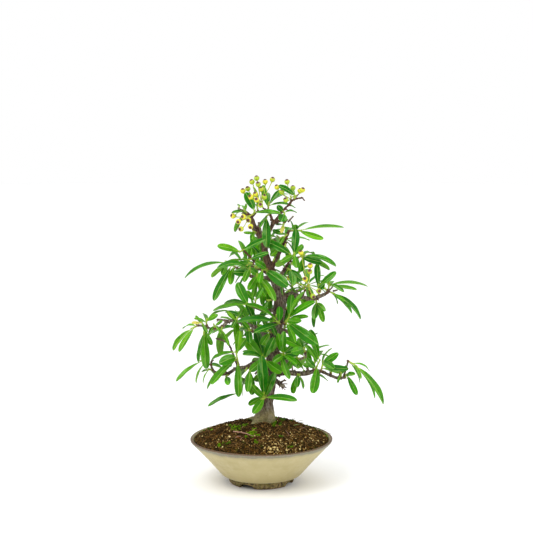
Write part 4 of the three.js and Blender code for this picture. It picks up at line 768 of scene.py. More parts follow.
    def plain_leaves(self, number, shoot, count):
        """Plain leaves round a shoot, at the golden angle, where they have room."""
        draw = seeded_draws(SEED * (number + 71))
        axis, leaves = unit(shoot[1] - shoot[0]), []
        for _ in range(count):
            seat = mixed(*shoot, 0.5 + 0.45 * next(draw))
            turn = 2 * pi * next(draw)
            lean = 0.8 + 0.5 * next(draw)
            length = LEAF_LENGTH * (0.8 + 0.35 * next(draw))
            roll = 0.9 * (next(draw) - 0.5)
            arch = 0.06 + 0.08 * next(draw)
            leaves += self.settled(
                (plain_leaf(seat, axis, turn + j * GOLDEN_ANGLE, lean, length, roll, arch)
                 for j in range(PLAIN_TRIES)), number, True)
        return leaves


# Meshes


def full_turn(sides):
    """The angles of even steps round a circle."""
    return np.arange(sides) / sides * 2 * pi


def lay_mark(mesh, name, values):
    """Stores three values at each point of a mesh, which the finishes read."""
    layer = mesh.attributes.new(name, "FLOAT_VECTOR", "POINT")
    layer.data.foreach_set("vector", values.astype(np.float32).ravel())


def smoothed(mesh):
    mesh.polygons.foreach_set("use_smooth", [True] * len(mesh.polygons))
    mesh.update()


def ring_faces(rings, sides):
    """Faces of a tube: rings of corners joined in turn."""
    start = np.arange(rings - 1)[:, None] * sides
    side = np.arange(sides)
    after = (side + 1) % sides
    return np.stack([start + side, start + after, start + after + sides, start + side + sides],
                    axis=2).reshape(-1, 4)


def tube_faces(rings, sides):
    """Faces of a tube with a flat cap at each end."""
    last = (rings - 1) * sides
    return ring_faces(rings, sides).tolist() + [list(range(sides))[::-1],
                                                [last + i for i in range(sides)]]


class Skin:
    """The points, faces, finishes and marks of one piece, gathered part by part."""

    def __init__(self, *marks):
        self.points, self.faces, self.finishes = [], [], []
        self.marks = {name: [] for name in marks}
        self.count = 0

    def add(self, points, faces, finish=0, **marks):
        """Adds a part. A mark is one value for each point, or one for the whole part."""
        self.points.append(points)
        self.faces += [[self.count + corner for corner in face] for face in faces]
        self.finishes += [finish] * len(faces) if isinstance(finish, int) else list(finish)
        for name, kept in self.marks.items():
            kept.append(np.broadcast_to(np.array(marks[name], float), (len(points), 3)))
        self.count += len(points)

    def add_tube(self, path, radii, sides, finish=0, **marks):
        """Adds a round stalk, twig or root along a path."""
        path, radii = np.asarray(path), np.broadcast_to(radii, len(path))
        ahead = np.gradient(path, axis=0)
        turn = full_turn(sides)
        rings, across = [], None
        for point, forward, radius in zip(path, ahead, radii):
            forward = unit(forward)
            across = any_square(forward) if across is None else square_to(across, forward)
            beside = np.cross(forward, across)
            rings.append(point + radius * (np.cos(turn)[:, None] * across
                                           + np.sin(turn)[:, None] * beside))
        for name, mark in marks.items():
            if np.ndim(mark) == 2:
                marks[name] = np.repeat(mark, sides, axis=0)
        self.add(np.vstack(rings), tube_faces(len(path), sides), finish, **marks)

    def piece(self, name, slot, finishes, replaced=()):
        """Makes the piece in metres, round the pot's axis, and lets it ride."""
        mesh = bpy.data.meshes.new(name)
        places = (np.vstack(self.points) + AXIS) * MM
        mesh.from_pydata(places.tolist(), [], self.faces)
        mesh.polygons.foreach_set("material_index", self.finishes)
        for mark, kept in self.marks.items():
            lay_mark(mesh, mark, np.vstack(kept))
        for finish in finishes:
            mesh.materials.append(finish)
        smoothed(mesh)
        made = bpy.data.objects.new(name, mesh)
        settle_piece(made, replaced)
        return made


def settle_piece(made, replaced=()):
    """Links a piece, lets it ride on the part and hides the solids it stands for."""
    bpy.context.scene.collection.objects.link(made)
    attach(made, "root")
    if replaced:
        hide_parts(*replaced)


def bent(start, end, lift, count):
    """Points on a bowed line from start to end; lift is how far its middle is moved."""
    share = np.linspace(0, 1, count)[:, None]
    return mixed(start, end, share) + 4 * share * (1 - share) * np.asarray(lift)


# Finishes, and the heights and reaches in millimetres at which they change

CROWN_WOOD = (238, 268)
FOOT_BARK = (92, 74)
FOOT_MOSS = (80, 70)
# Heights over which painted shade darkens the glaze towards the bottom.
LOW_PAINTED_SHADE = (28, 12)
BAND_FADE = (45.2, 49.0)
BAND = (48.6, 50.2)
LIP_EDGE = (52.5, 53.2)
INSIDE_FADE = 1.6
# Heights over which painted shade darkens the foot under the bowl's turn.
PAINTED_SHADE_UNDER_TURN = (7.5, 9.3)
STANDING_EDGE = (1.6, 0.2)
# Reaches from the pot's axis over which painted shade darkens the soil under the tree.
PAINTED_SHADE_UNDER_TREE = (52, 16)
LARGE_SPECKS = 7.5
SMALL_SPECKS = 2.4


def srgb(red, green, blue):
    """A colour as its three linear parts, from parts of 0 to 255."""
    parts = [part / 255 for part in (red, green, blue)]
    return tuple(p / 12.92 if p <= 0.04045 else ((p + 0.055) / 1.055) ** 2.4 for p in parts)


class Finish:
    """A procedural finish under way: a material and the nodes that shape it."""

    def __init__(self, name, **sockets):
        self.material = bpy.data.materials.new(name)
        self.material.use_nodes = True
        self.tree = self.material.node_tree
        self.shader = self.tree.nodes["Principled BSDF"]
        self.colour = None
        for socket, value in sockets.items():
            self.shader.inputs[socket.replace("_", " ")].default_value = value

    def node(self, kind, sockets=None, **settings):
        made = self.tree.nodes.new("ShaderNode" + kind)
        for setting, value in settings.items():
            setattr(made, setting, value)
        for socket, value in (sockets or {}).items():
            self.feed(made.inputs[socket], value)
        return made

    def feed(self, socket, value):
        if isinstance(value, bpy.types.NodeSocket):
            self.tree.links.new(value, socket)
        elif socket.type == "RGBA":
            socket.default_value = (*value, 1)[:4]
        else:
            socket.default_value = value

    def place(self, stretch=(1, 1, 1)):
        """The object's own coordinates in millimetres, stretched along its axes."""
        spot = self.node("TexCoord").outputs["Object"]
        scale = [1 / MM / s for s in stretch]
        return self.node("Mapping", {"Vector": spot, "Scale": scale}).outputs["Vector"]

    def parts(self, vector):
        return self.node("SeparateXYZ", {"Vector": vector}).outputs[:3]

    def reach(self):
        """The distance from the pot's axis in millimetres."""
        spot = self.node("VectorMath", {0: self.place(), 1: AXIS}, operation="SUBTRACT")
        flat = self.node("VectorMath", {0: spot.outputs[0], 1: (1, 1, 0)}, operation="MULTIPLY")
        return self.node("VectorMath", {0: flat.outputs[0]}, operation="LENGTH").outputs["Value"]

    def mark(self, name):
        return self.parts(self.node("Attribute", attribute_name=name).outputs["Vector"])

    def noise(self, size, detail=3, stretch=(1, 1, 1)):
        """A cloudy value from 0 to 1 whose lumps have a size in millimetres."""
        sockets = {"Vector": self.place(stretch), "Scale": 1 / size, "Detail": detail,
                   "Roughness": 0.55}
        return self.node("TexNoise", sockets).outputs["Fac"]

    def cloud(self, size, low, high, to_low=0, to_high=1, detail=3, stretch=(1, 1, 1)):
        """A share that eases between two levels of a cloudy value."""
        return self.range(self.noise(size, detail, stretch), low, high, to_low, to_high)

    def cells(self, size, output="Distance", stretch=(1, 1, 1)):
        sockets = {"Vector": self.place(stretch), "Scale": 1 / size}
        return self.node("TexVoronoi", sockets).outputs[output]

    def math(self, operation, *values):
        made = self.node("Math", operation=operation)
        for socket, value in zip(made.inputs, values):
            self.feed(socket, value)
        return made.outputs[0]

    def times(self, first, second):
        return self.math("MULTIPLY", first, second)

    def plus(self, first, second):
        return self.math("ADD", first, second)

    def range(self, value, low, high, to_low=0.0, to_high=1.0):
        """A value eased from one range to another and held inside it."""
        sockets = {"Value": value, "From Min": low, "From Max": high, "To Min": to_low,
                   "To Max": to_high}
        return self.node("MapRange", sockets, interpolation_type="SMOOTHSTEP").outputs["Result"]

    def mix(self, first, second, share):
        made = self.node("Mix", data_type="RGBA")
        for socket, value in ((0, share), (6, first), (7, second)):
            self.feed(made.inputs[socket], value)
        return made.outputs[2]

    def coat(self, colour, share):
        """Lays a colour over what is there, by a share from 0 to 1."""
        self.colour = self.mix(self.colour, colour, share)

    def bump(self, height, depth):
        """A bump of a depth in millimetres."""
        return self.node("Bump", {"Height": height, "Distance": depth * MM}).outputs["Normal"]

    def done(self, rough, normal=None):
        self.feed(self.shader.inputs["Base Color"], self.colour)
        self.feed(self.shader.inputs["Roughness"], rough)
        if normal:
            self.feed(self.shader.inputs["Normal"], normal)
        return self.material


def leaf_finish(look, under):
    """Waxy leaf: a slightly lighter midrib, faint side veins, paler and duller below; one half of
    the blade has painted shade, the other a painted sheen.
    """
    made = Finish("leaf_underside" if under else "leaf_upper_face",
                  Specular_IOR_Level=0.06 if under else 0.14, Subsurface_Weight=look.glow,
                  Subsurface_Radius=(0.45, 1.0, 0.05), Subsurface_Scale=0.0012)
    along, across, tone = made.mark("blade")
    share, width, warmth = made.mark("growth")
    off_rib = made.math("ABSOLUTE", across)
    made.colour = made.mix(look.cool_green, look.warm_green, warmth)
    made.coat(look.deep_green, made.range(tone, 0.5, 1, 0, 0.85))
    made.coat(look.fresh_green, made.range(tone, 0.4, 0, 0, 0.6))
    cloud = made.noise(7)
    made.coat(look.deep_green, made.range(cloud, 0.5, 0.75, 0, 0.5))
    made.coat(look.fresh_green, made.range(cloud, 0.5, 0.25, 0, 0.4))
    # Painted shade: one half of the blade, picked at random, is darkened as if the fold turned it
    # away from the light.
    shade = made.times(made.range(width, -0.12, 0.12), made.range(share, 0.1, 0.3))
    made.coat(look.deep_green, made.times(shade, 0.42))
    # Painted sheen: pale streaks of highlight along the blade, strongest on the half without
    # painted shade and on older leaves.
    blade = made.node("CombineXYZ", {"X": made.times(along, 0.07),
                                     "Y": made.times(across, 0.3),
                                     "Z": made.times(tone, 40)})
    streaks = made.node("TexNoise", {"Vector": blade.outputs[0], "Scale": 1, "Detail": 3})
    sheen = made.range(streaks.outputs["Fac"], 0.45, 0.62, 0, 0.42)
    sheen = made.times(sheen, made.range(width, 0.3, -0.1, 0.15, 1))
    made.coat(look.painted_sheen_green, made.times(sheen, made.range(tone, 0.2, 0.7)))
    slant = made.plus(along, made.times(off_rib, -0.8))
    wave = made.math("SINE", made.times(slant, 2 * pi / look.vein_spacing))
    vein = made.range(wave, 0.75, 1)
    made.coat(look.deep_green, made.times(vein, 0.22))
    rib = made.range(off_rib, 0.4, 0.12)
    made.coat(look.rib_green, made.times(rib, 0.6))
    margin = made.range(made.math("ABSOLUTE", width), 0.88, 1)
    made.coat(look.rib_green, made.times(margin, 0.32))
    made.coat(look.stalk_green, made.range(share, 0.16, 0.07))
    made.coat(look.rust, made.range(share, 0.992, 1.0, 0, 0.8))
    made.coat(look.dead_yellow, made.range(warmth, 1, 1.5, 0, 0.9))
    if under:
        made.coat(look.under_green, 0.55)
    grain = made.noise(0.35, 2)
    height = made.plus(made.times(vein, 0.6 if under else -0.6), grain)
    height = made.plus(height, made.times(made.noise(2.6, 1), 1.6))
    rough = made.cloud(4, 0.3, 0.7, look.gloss - 0.05, look.gloss + 0.1)
    if under:
        rough = made.plus(rough, 0.2)
    return made.done(rough, made.bump(height, 0.2))


def shoot_finish(look):
    """Young shoot: green at the tip, reddish brown at the root, with fine down."""
    made = Finish("green_shoot")
    share, tone, _ = made.mark("growth")
    made.colour = made.mix(look.shoot_red, look.stalk_green, made.range(share, 0.0, 0.55))
    made.coat(look.rust, made.cloud(1.2, 0.55, 0.8, 0, 0.5))
    rough = made.range(tone, 0, 1, 0.5, 0.7)
    return made.done(rough, made.bump(made.noise(0.5), 0.1))


def bark_finish(look):
    """Grey trunk with dark fissures and lichen, ripening from red-brown twigs."""
    made = Finish("firethorn_bark", Specular_IOR_Level=0.12)
    girth, height, crack = made.mark("bark")
    young = made.mix(look.twig_brown, look.twig_red, made.cloud(3, 0.4, 0.65))
    old = made.mix(look.bark_brown, look.bark_grey,
                   made.cloud(6, 0.38, 0.6, detail=4, stretch=(1, 1, 3)))
    made.colour = made.mix(young, old, made.range(girth, 1.1, 2.4))
    crown = made.times(made.range(height, *CROWN_WOOD), made.cloud(9, 0.3, 0.6, 0.5, 1))
    made.coat(look.twig_brown, made.times(crown, 0.7))
    made.coat(look.twig_red, made.times(crown, made.cloud(2.5, 0.4, 0.6, 0, 0.5)))
    streak = made.noise(1.7, 4, (1, 1, 2))
    made.coat(look.bark_dark, made.range(streak, 0.54, 0.66, 0, 0.85))
    made.coat(look.bark_dark, made.range(crack, 0, -0.3, 0, 0.7))
    spots = made.range(made.cells(2.3, stretch=(1, 1, 0.45)), 0.16, 0.08, 0, 0.6)
    made.coat(look.lichen, made.times(spots, made.range(girth, 2, 4)))
    patch = made.cloud(7, 0.5, 0.62, detail=4)
    foot = made.range(height, *FOOT_BARK)
    tan = made.times(made.plus(made.times(patch, 0.45), 0.5), foot)
    made.coat(look.foot_tan, tan)
    flecks = made.range(made.cells(1.5), 0.3, 0.16, 0, 0.75)
    made.coat(look.bark_dark, made.times(flecks, foot))
    damp = made.cloud(4, 0.46, 0.62, detail=3)
    base = made.range(height, *FOOT_MOSS)
    made.coat(look.moss_stain, made.times(damp, made.times(base, 0.8)))
    bumps = made.plus(made.times(streak, -1.5), made.noise(0.5))
    return made.done(made.range(streak, 0.3, 0.7, 0.68, 0.9), made.bump(bumps, 0.6))


def berry_finish(look):
    """Unripe berry: yellow-green skin with a dark calyx and fine pale dots."""
    made = Finish("unripe_berry", Specular_IOR_Level=0.5, Subsurface_Weight=0.15,
                  Subsurface_Radius=(1.0, 0.9, 0.3), Subsurface_Scale=0.001)
    share, _, tone = made.mark("berry")
    made.colour = made.mix(look.skin_green, look.skin_yellow, made.range(tone, 0.15, 0.75))
    made.coat(look.skin_green, made.range(share, 0.1, -0.9, 0, 0.7))
    dots = made.range(made.cells(0.7), 0.16, 0.07, 0, 0.4)
    made.coat(look.skin_pale, dots)
    blush = made.range(share, 0.68, 0.86)
    made.coat(look.calyx_brown, made.times(blush, 0.85))
    return made.done(0.34, made.bump(made.noise(0.8), 0.05))


def calyx_finish(look):
    """Dry calyx lobes: dark purple-brown, paler at their tips."""
    made = Finish("dry_calyx", Specular_IOR_Level=0.2)
    share, _, _ = made.mark("berry")
    made.colour = made.mix(look.calyx_dark, look.calyx_brown,
                           made.cloud(0.5, 0.35, 0.65))
    made.coat(look.calyx_pale, made.range(share, 0.98, 1.12, 0, 0.7))
    return made.done(0.75, made.bump(made.noise(0.3), 0.08))


def stalk_finish(look):
    """Berry stalk: yellow-green with red-brown patches and down."""
    made = Finish("berry_stalk", Specular_IOR_Level=0.3)
    made.colour = made.mix(look.stalk_green, look.stalk_red,
                           made.cloud(2.5, 0.52, 0.7, 0, 0.6))
    return made.done(0.55, made.bump(made.noise(0.4), 0.08))


def glaze_finish(look):
    """Cream-beige glaze: brown lip, grey-violet band that runs down, specks and streaks, and
    painted shade that darkens it towards the bottom.
    """
    made = Finish("cream_glaze", Specular_IOR_Level=0.35)
    _, _, height = made.parts(made.place())
    reach = made.reach()
    streak = made.noise(8, 2, (1, 1, 6))
    cloud = made.noise(22, 2)
    fine = made.noise(1.4, 3)
    level = made.plus(height, made.times(made.math("SUBTRACT", cloud, 0.5), 4))
    level = made.plus(level, made.times(made.math("SUBTRACT", streak, 0.5), 4))
    made.colour = made.mix(look.glaze_cream, look.glaze_ochre_and_shade, made.range(cloud, 0.4, 0.75, 0, 0.6))
    made.coat(look.glaze_pale, made.range(streak, 0.5, 0.72, 0, 0.35))
    # Painted shade: the glaze turns ochre and darker towards the bottom of the bowl.
    made.coat(look.glaze_ochre_and_shade, made.range(height, *LOW_PAINTED_SHADE, 0, 0.65))
    made.coat(look.glaze_olive, made.range(fine, 0.56, 0.7, 0, 0.05))
    band = made.mix(look.band_grey, look.band_violet, made.cloud(2.5, 0.45, 0.62, detail=3))
    made.coat(band, made.range(level, *BAND_FADE, 0, 0.3))
    made.coat(band, made.range(level, *BAND, 0, 0.85))
    inside = made.mix(look.glaze_ochre_and_shade, look.band_grey, made.range(fine, 0.4, 0.65, 0, 0.6))
    from_wall = made.math("MULTIPLY_ADD", height, -WALL_SLOPE, reach)
    made.coat(inside, made.range(from_wall, INSIDE_REACH, INSIDE_REACH - INSIDE_FADE))
    lip = made.plus(height, made.times(made.math("SUBTRACT", fine, 0.5), 1.6))
    worn = made.times(made.range(lip, *LIP_EDGE),
                      made.range(reach, look.lip_radius - 1, look.lip_radius))
    made.coat(look.lip_brown, made.times(worn, 0.9))
    specks = made.range(made.cells(LARGE_SPECKS), 0.055, 0.04, 0, 0.7)
    made.coat(look.speck_brown, specks)
    made.coat(look.speck_brown, made.range(made.cells(SMALL_SPECKS), 0.07, 0.04, 0, 0.1))
    rough = made.cloud(3, 0.35, 0.7, look.gloss, look.gloss + 0.16)
    bumps = made.plus(made.times(streak, 0.8), made.times(fine, 0.1))
    return made.done(rough, made.bump(bumps, 0.06))


def clay_finish(look):
    """Bare foot: brown stoneware with green and dark water stains, and painted shade at its top
    under the bowl's turn.
    """
    made = Finish("bare_stoneware", Specular_IOR_Level=0.3)
    _, _, height = made.parts(made.place())
    made.colour = made.mix(look.clay_brown, look.clay_dark_and_shade,
                           made.cloud(3, 0.4, 0.65, detail=4))
    made.coat(look.clay_moss, made.cloud(5, 0.44, 0.6, 0, 0.85, detail=4))
    # Painted shade: the top of the foot, under the overhang of the bowl, is darkened.
    made.coat(look.clay_dark_and_shade, made.range(height, *PAINTED_SHADE_UNDER_TURN, 0, 0.7))
    made.coat(look.clay_red, made.range(height, *STANDING_EDGE, 0, 0.8))
    grain = made.noise(0.9, 4)
    return made.done(0.8, made.bump(grain, 0.5))


def soil_finish(look):
    """Damp dark compost with rust-brown fibre and lighter crumbs, and painted shade towards the
    middle under the tree.
    """
    made = Finish("damp_soil", Specular_IOR_Level=0.04)
    made.colour = made.mix(look.soil_dark_and_shade, look.soil_brown,
                           made.cloud(1.6, 0.4, 0.62, detail=4))
    made.coat(look.soil_rust, made.cloud(5, 0.5, 0.68, 0, 0.55, detail=3))
    crumbs = made.range(made.cells(1.5, "Color"), 0.72, 0.8, 0, 0.4)
    made.coat(look.soil_tan, crumbs)
    made.coat(look.soil_moss, made.cloud(9, 0.56, 0.68, 0, 0.6, detail=4))
    # Painted shade: the soil darkens towards the middle, under the tree.
    made.coat(look.soil_dark_and_shade, made.range(made.reach(), *PAINTED_SHADE_UNDER_TREE, 0, 0.5))
    height = made.plus(made.noise(0.7, 4), made.times(made.cells(1.1), 0.8))
    return made.done(0.92, made.bump(height, 0.9))


def grain_finish(name, look, first, second, rough):
    """Loose grains of grit whose colour changes from grain to grain."""
    made = Finish(name, Specular_IOR_Level=0.08)
    tone, _, _ = made.mark("grain")
    made.colour = made.mix(first, second, tone)
    shade = made.range(tone, 0.3, 0, 0.2, 0.75)
    made.coat(look.soil_dark_and_shade, made.times(shade, made.cloud(0.9, 0.3, 0.7, detail=3)))
    return made.done(rough, made.bump(made.noise(0.4), 0.2))


def moss_finish(look):
    """Moss leaflets: bright at the tips, dark and brown at the root."""
    made = Finish("moss", Specular_IOR_Level=0.08)
    share, tone, _ = made.mark("grain")
    made.colour = made.mix(look.moss_dark, look.moss_bright, tone)
    made.colour = made.mix(look.moss_root, made.colour, made.range(share, 0.0, 0.6))
    return made.done(0.6, made.bump(made.noise(0.4), 0.1))


# Settings


def tint(name, description, *colour):
    return FloatVectorProperty(name=name, description=description, subtype="COLOR", size=3,
                               min=0, max=1, default=srgb(*colour))


def whole(name, description, default, low=0):
    return IntProperty(name=name, description=description, default=default, min=low)


def amount(name, description, default, low=0, **kind):
    return FloatProperty(name=name, description=description, default=default, min=low, **kind)


def factor(name, description, default):
    return amount(name, description, default, max=1, subtype="FACTOR")


def metres(name, description, default, low):
    return amount(name, description, default, low, subtype="DISTANCE", unit="LENGTH")


class PotSettings(bpy.types.PropertyGroup):
    """Sizes and colours of the bowl."""

    segments: whole("Segments", "Faces round the bowl", 288, 32)
    throw: amount("Throwing Rings", "Depth of the rings left by turning, in mm", 0.12)
    gloss: factor("Glaze Roughness", "How dull the glaze is", 0.42)
    lip_radius: amount("Lip Radius", "Where the lip's worn edge ends, in mm",
                       RIM_DIAMETER / 2 - 1.8, 1)
    glaze_cream: tint("Cream", "Main glaze colour", 181, 169, 124)
    # Ochre gives the glaze's clouds and also the painted shade low down.
    glaze_ochre_and_shade: tint("Ochre", "Warmer glaze in clouds and low down", 167, 153, 105)
    glaze_pale: tint("Pale", "Thin glaze in the streaks", 192, 182, 142)
    glaze_olive: tint("Olive", "Greenish mottling", 150, 142, 96)
    band_grey: tint("Band", "Grey band under the lip", 116, 116, 96)
    band_violet: tint("Band Violet", "Violet parts of the band", 128, 118, 108)
    lip_brown: tint("Lip", "Brown edge where the glaze is thin", 86, 58, 34)
    speck_brown: tint("Specks", "Iron specks", 112, 92, 62)
    clay_brown: tint("Clay", "Bare foot", 150, 130, 84)
    # The dark clay gives the water stains and also the painted shade under the turn.
    clay_dark_and_shade: tint("Clay Dark", "Water stains on the foot", 62, 52, 36)
    clay_moss: tint("Clay Green", "Green stains on the foot", 104, 98, 50)
    clay_red: tint("Clay Red", "Standing edge of the foot", 122, 84, 66)


class SoilSettings(bpy.types.PropertyGroup):
    """Sizes and colours of the soil, grit, litter and moss."""

    cells: whole("Cells", "Cells across the soil's surface", 168, 20)
    grains: whole("Dark Grains", "Loose dark grains", 2200)
    pale_grains: whole("Pale Grains", "Loose tan and cream grains", 420)
    fibres: whole("Fibres", "Loose fibres and root hairs", 480)
    moss_tufts: whole("Moss Tufts", "Moss leaf tufts", 1700)
    # The dark soil colour gives the damp soil and also the painted shade under the tree.
    soil_dark_and_shade: tint("Dark", "Damp soil", 18, 13, 5)
    soil_brown: tint("Brown", "Drier soil", 60, 44, 16)
    soil_rust: tint("Rust", "Rusty fibre", 110, 68, 20)
    soil_tan: tint("Tan", "Crumbs", 138, 108, 48)
    soil_moss: tint("Olive", "Algae on the soil", 62, 66, 18)
    grit_tan: tint("Grit Tan", "Tan grit", 172, 134, 66)
    grit_cream: tint("Grit Cream", "Cream grit", 222, 202, 138)
    grain_tan: tint("Grain Tan", "Lighter loose grains", 132, 98, 48)
    grain_red: tint("Grain Red", "Reddish grains", 104, 74, 44)
    fibre_brown: tint("Fibre", "Root fibre", 58, 38, 18)
    fibre_pale: tint("Fibre Pale", "Dry fibre", 150, 112, 66)
    moss_bright: tint("Moss Bright", "Young moss", 146, 200, 22)
    moss_dark: tint("Moss Dark", "Old moss", 54, 92, 8)
    moss_root: tint("Moss Root", "Brown foot of the moss", 44, 42, 14)


class WoodSettings(bpy.types.PropertyGroup):
    """Sizes and colours of the trunk, branches and twigs."""

    grain: metres("Mesh Grain", "Size of the bark's mesh", 0.00074, 0.0003)
    bark_grey: tint("Grey", "Old bark", 142, 133, 116)
    bark_brown: tint("Brown", "Brown bark", 108, 90, 72)
    bark_dark: tint("Dark", "Fissures", 58, 47, 42)
    twig_brown: tint("Twig", "Young wood", 98, 70, 54)
    twig_red: tint("Twig Red", "Reddish young wood", 116, 74, 56)
    foot_tan: tint("Foot", "Weathered bark over the soil", 164, 152, 104)
    lichen: tint("Lichen", "Pale lichen", 168, 166, 138)
    moss_stain: tint("Moss Stain", "Green at the trunk's foot", 98, 104, 52)


class LeafSettings(bpy.types.PropertyGroup):
    """Sizes and colours of the leaves and shoots."""

    fold: factor("Fold", "Rise of the margins over the half width", 0.36)
    vein_spacing: amount("Vein Spacing", "Side veins apart, in mm", 1.9, 0.5)
    gloss: factor("Roughness", "How dull the upper face is", 0.32)
    glow: factor("Glow", "Share of light that passes into the leaf", 0.3)
    cool_green: tint("Cool Green", "Old leaves", 44, 130, 2)
    warm_green: tint("Warm Green", "Young leaves", 116, 170, 8)
    deep_green: tint("Deep Green", "Darker leaves and clouds", 12, 92, 0)
    fresh_green: tint("Fresh Green", "Lighter leaves and clouds", 92, 174, 10)
    rib_green: tint("Rib", "Midrib, veins and margin", 164, 200, 92)
    # Painted sheen: a pale highlight colour laid on the lit half of older leaves, not a bloom of
    # wax.
    painted_sheen_green: tint("Sheen", "Waxy bloom of old leaves", 142, 184, 108)
    under_green: tint("Underside", "Paler lower face", 128, 166, 70)
    stalk_green: tint("Stalk", "Leaf stalk", 158, 186, 62)
    shoot_red: tint("Shoot", "Root of a shoot", 122, 84, 52)
    dead_yellow: tint("Dead Leaf", "Dry leaves", 216, 204, 104)
    rust: tint("Rust", "Brown tips and scars", 132, 92, 44)


class BerrySettings(bpy.types.PropertyGroup):
    """Sizes and colours of the berries."""

    sides: whole("Sides", "Faces round a berry", 26, 8)
    skin_yellow: tint("Yellow", "Skin in the sun", 214, 208, 44)
    skin_green: tint("Green", "Skin in the shade", 164, 190, 32)
    skin_pale: tint("Dots", "Pale dots on the skin", 226, 228, 130)
    calyx_brown: tint("Calyx", "Calyx rim", 134, 92, 74)
    calyx_dark: tint("Calyx Dark", "Inside of the calyx", 72, 40, 50)
    calyx_pale: tint("Calyx Tip", "Dry tips of the lobes", 150, 122, 122)
    stalk_green: tint("Stalk", "Berry stalk", 172, 186, 66)
    stalk_red: tint("Stalk Red", "Reddish patches of the stalk", 142, 92, 62)


class StageSettings(bpy.types.PropertyGroup):
    """Floor, light and camera."""

    floor_reach: metres("Floor", "Radius of the floor", 6.0, 0.5)
    floor_colour: tint("Floor Colour", "Pale floor", 250, 250, 250)
    sky: amount("Ambient", "Strength of the soft light all round", 0.95)
    key: amount("Key", "Power of the large lamp over the front", 11, unit="POWER")
    fill: amount("Fill", "Power of the lamp from the right", 3, unit="POWER")


class BonsaiSettings(bpy.types.PropertyGroup):
    """Everything that can be changed on the bonsai."""

    pot: PointerProperty(type=PotSettings)
    soil: PointerProperty(type=SoilSettings)
    wood: PointerProperty(type=WoodSettings)
    leaves: PointerProperty(type=LeafSettings)
    berries: PointerProperty(type=BerrySettings)
    stage: PointerProperty(type=StageSettings)


# Pot


def notch_height(offset):
    """How high the foot's notch rises at a distance from its middle: a cloud-like arch."""
    half = NOTCH_WIDTH / 2
    inside = np.clip(1 - (np.abs(offset) / half) ** 4, 0, None) ** 0.5
    scallop = 1 - 0.16 * held(1 - np.abs(np.abs(offset) - half * 0.52) / 1.6)
    return np.where(np.abs(offset) < half, NOTCH_HEIGHT * inside * scallop, 0)


def pot_profile():
    """Rows of [radius, height, finish] of the bowl, from the drain hole's floor outwards."""
    rim, turn, drain = RIM_DIAMETER / 2, TURN_DIAMETER / 2, DRAIN_DIAMETER / 2
    top, base = FOOT_TOP_DIAMETER / 2, FOOT_BOTTOM_DIAMETER / 2
    inner_floor = FOOT_HEIGHT + FLOOR_THICKNESS
    ring_in = base - FOOT_RING_WIDTH
    lip = [(rim - inset, height) for inset, height in LIP]
    stretches = [
        (1, 3, [(drain, FOOT_HEIGHT), (drain, inner_floor)]),
        (1, 6, [(drain, inner_floor), (turn - WALL - 4, inner_floor)]),
        (0, 14, [(turn - WALL - 4, inner_floor), lip[0]]),
        (0, 12, lip),
        (0, 26, [lip[-1], (turn + WALL_BEND[0], WALL_BEND[1]), (turn, TURN_HEIGHT)]),
        (0, 6, [(turn, TURN_HEIGHT), (turn - 1.1, 10.8), (turn - 2.6, 9.9), (turn - 4.6, 9.5)]),
        (1, 2, [(turn - 4.6, 9.5), (top + 0.3, 9.3)]),
        (1, 10, [(top + 0.3, 9.3), (top - 0.6, 8.2), (base + 0.5, 1.2), (base - 0.3, 0.15),
                 (base - 1, 0)]),
        (1, 5, [(base - 1, 0), (ring_in + 0.6, 0)]),
        (1, 8, [(ring_in + 0.6, 0), (ring_in, 0.4), (ring_in - 1, FOOT_HEIGHT)]),
        (1, 6, [(ring_in - 1, FOOT_HEIGHT), (drain, FOOT_HEIGHT)]),
    ]
    rows, kinds = [], []
    for kind, steps, knots in stretches:
        knots = np.array(knots, float)
        reach = np.concatenate([[0], np.cumsum(np.linalg.norm(np.diff(knots, axis=0), axis=1))])
        steps = max(steps, len(knots) - 1)
        at = np.linspace(0, reach[-1], steps + 1)[:-1]
        rows += [(np.interp(a, reach, knots[:, 0]), np.interp(a, reach, knots[:, 1])) for a in at]
        kinds += [kind] * steps
    return np.array(rows), kinds


class BONSAI_OT_make_pot(bpy.types.Operator):
    """Throws the flared bowl with its banded lip and notched foot ring"""

    bl_idname = "bonsai.make_pot"
    bl_label = "Make Pot"

    def execute(self, context):
        look = context.scene.bonsai.pot
        rows, kinds = pot_profile()
        turn = full_turn(look.segments)
        radius, height = rows[:, :1], rows[:, 1:]
        outer = (radius > OUTER_RADIUS) & (height > OUTER_HEIGHT)
        rings = look.throw * np.sin(height * 1.35 + 0.5 * np.sin(turn)) * outer
        sway = SWAY * np.sin(2 * turn + 0.6) * (height > SWAY_HEIGHT) * (height - SWAY_HEIGHT) / 14
        spread = radius + rings + sway
        lift = WAVE * np.sin(3 * turn + 1) * held((height - WAVE_HEIGHT) / 10)
        rise = np.repeat(height, len(turn), axis=1) + lift
        off = np.remainder(turn + NOTCH_TURN + pi / 4, pi / 2) - pi / 4
        cut = notch_height(np.sin(off) * radius)
        inner, outer = RING_REACH
        in_foot = (radius > inner) & (radius < outer) & (height < RING_HEIGHT)
        rise = np.where(in_foot, np.maximum(rise, cut), rise)
        points = np.stack([spread * np.cos(turn), spread * np.sin(turn), rise], axis=2)
        sides, count = len(turn), len(rows)
        faces = ring_faces(count + 1, sides) % (count * sides)
        skin = Skin()
        skin.add(points.reshape(-1, 3), faces.tolist(), np.repeat(kinds, sides).tolist())
        skin.piece("glazed_bowl", "pot", [glaze_finish(look), clay_finish(look)], ["pot"])
        return {"FINISHED"}


# Soil


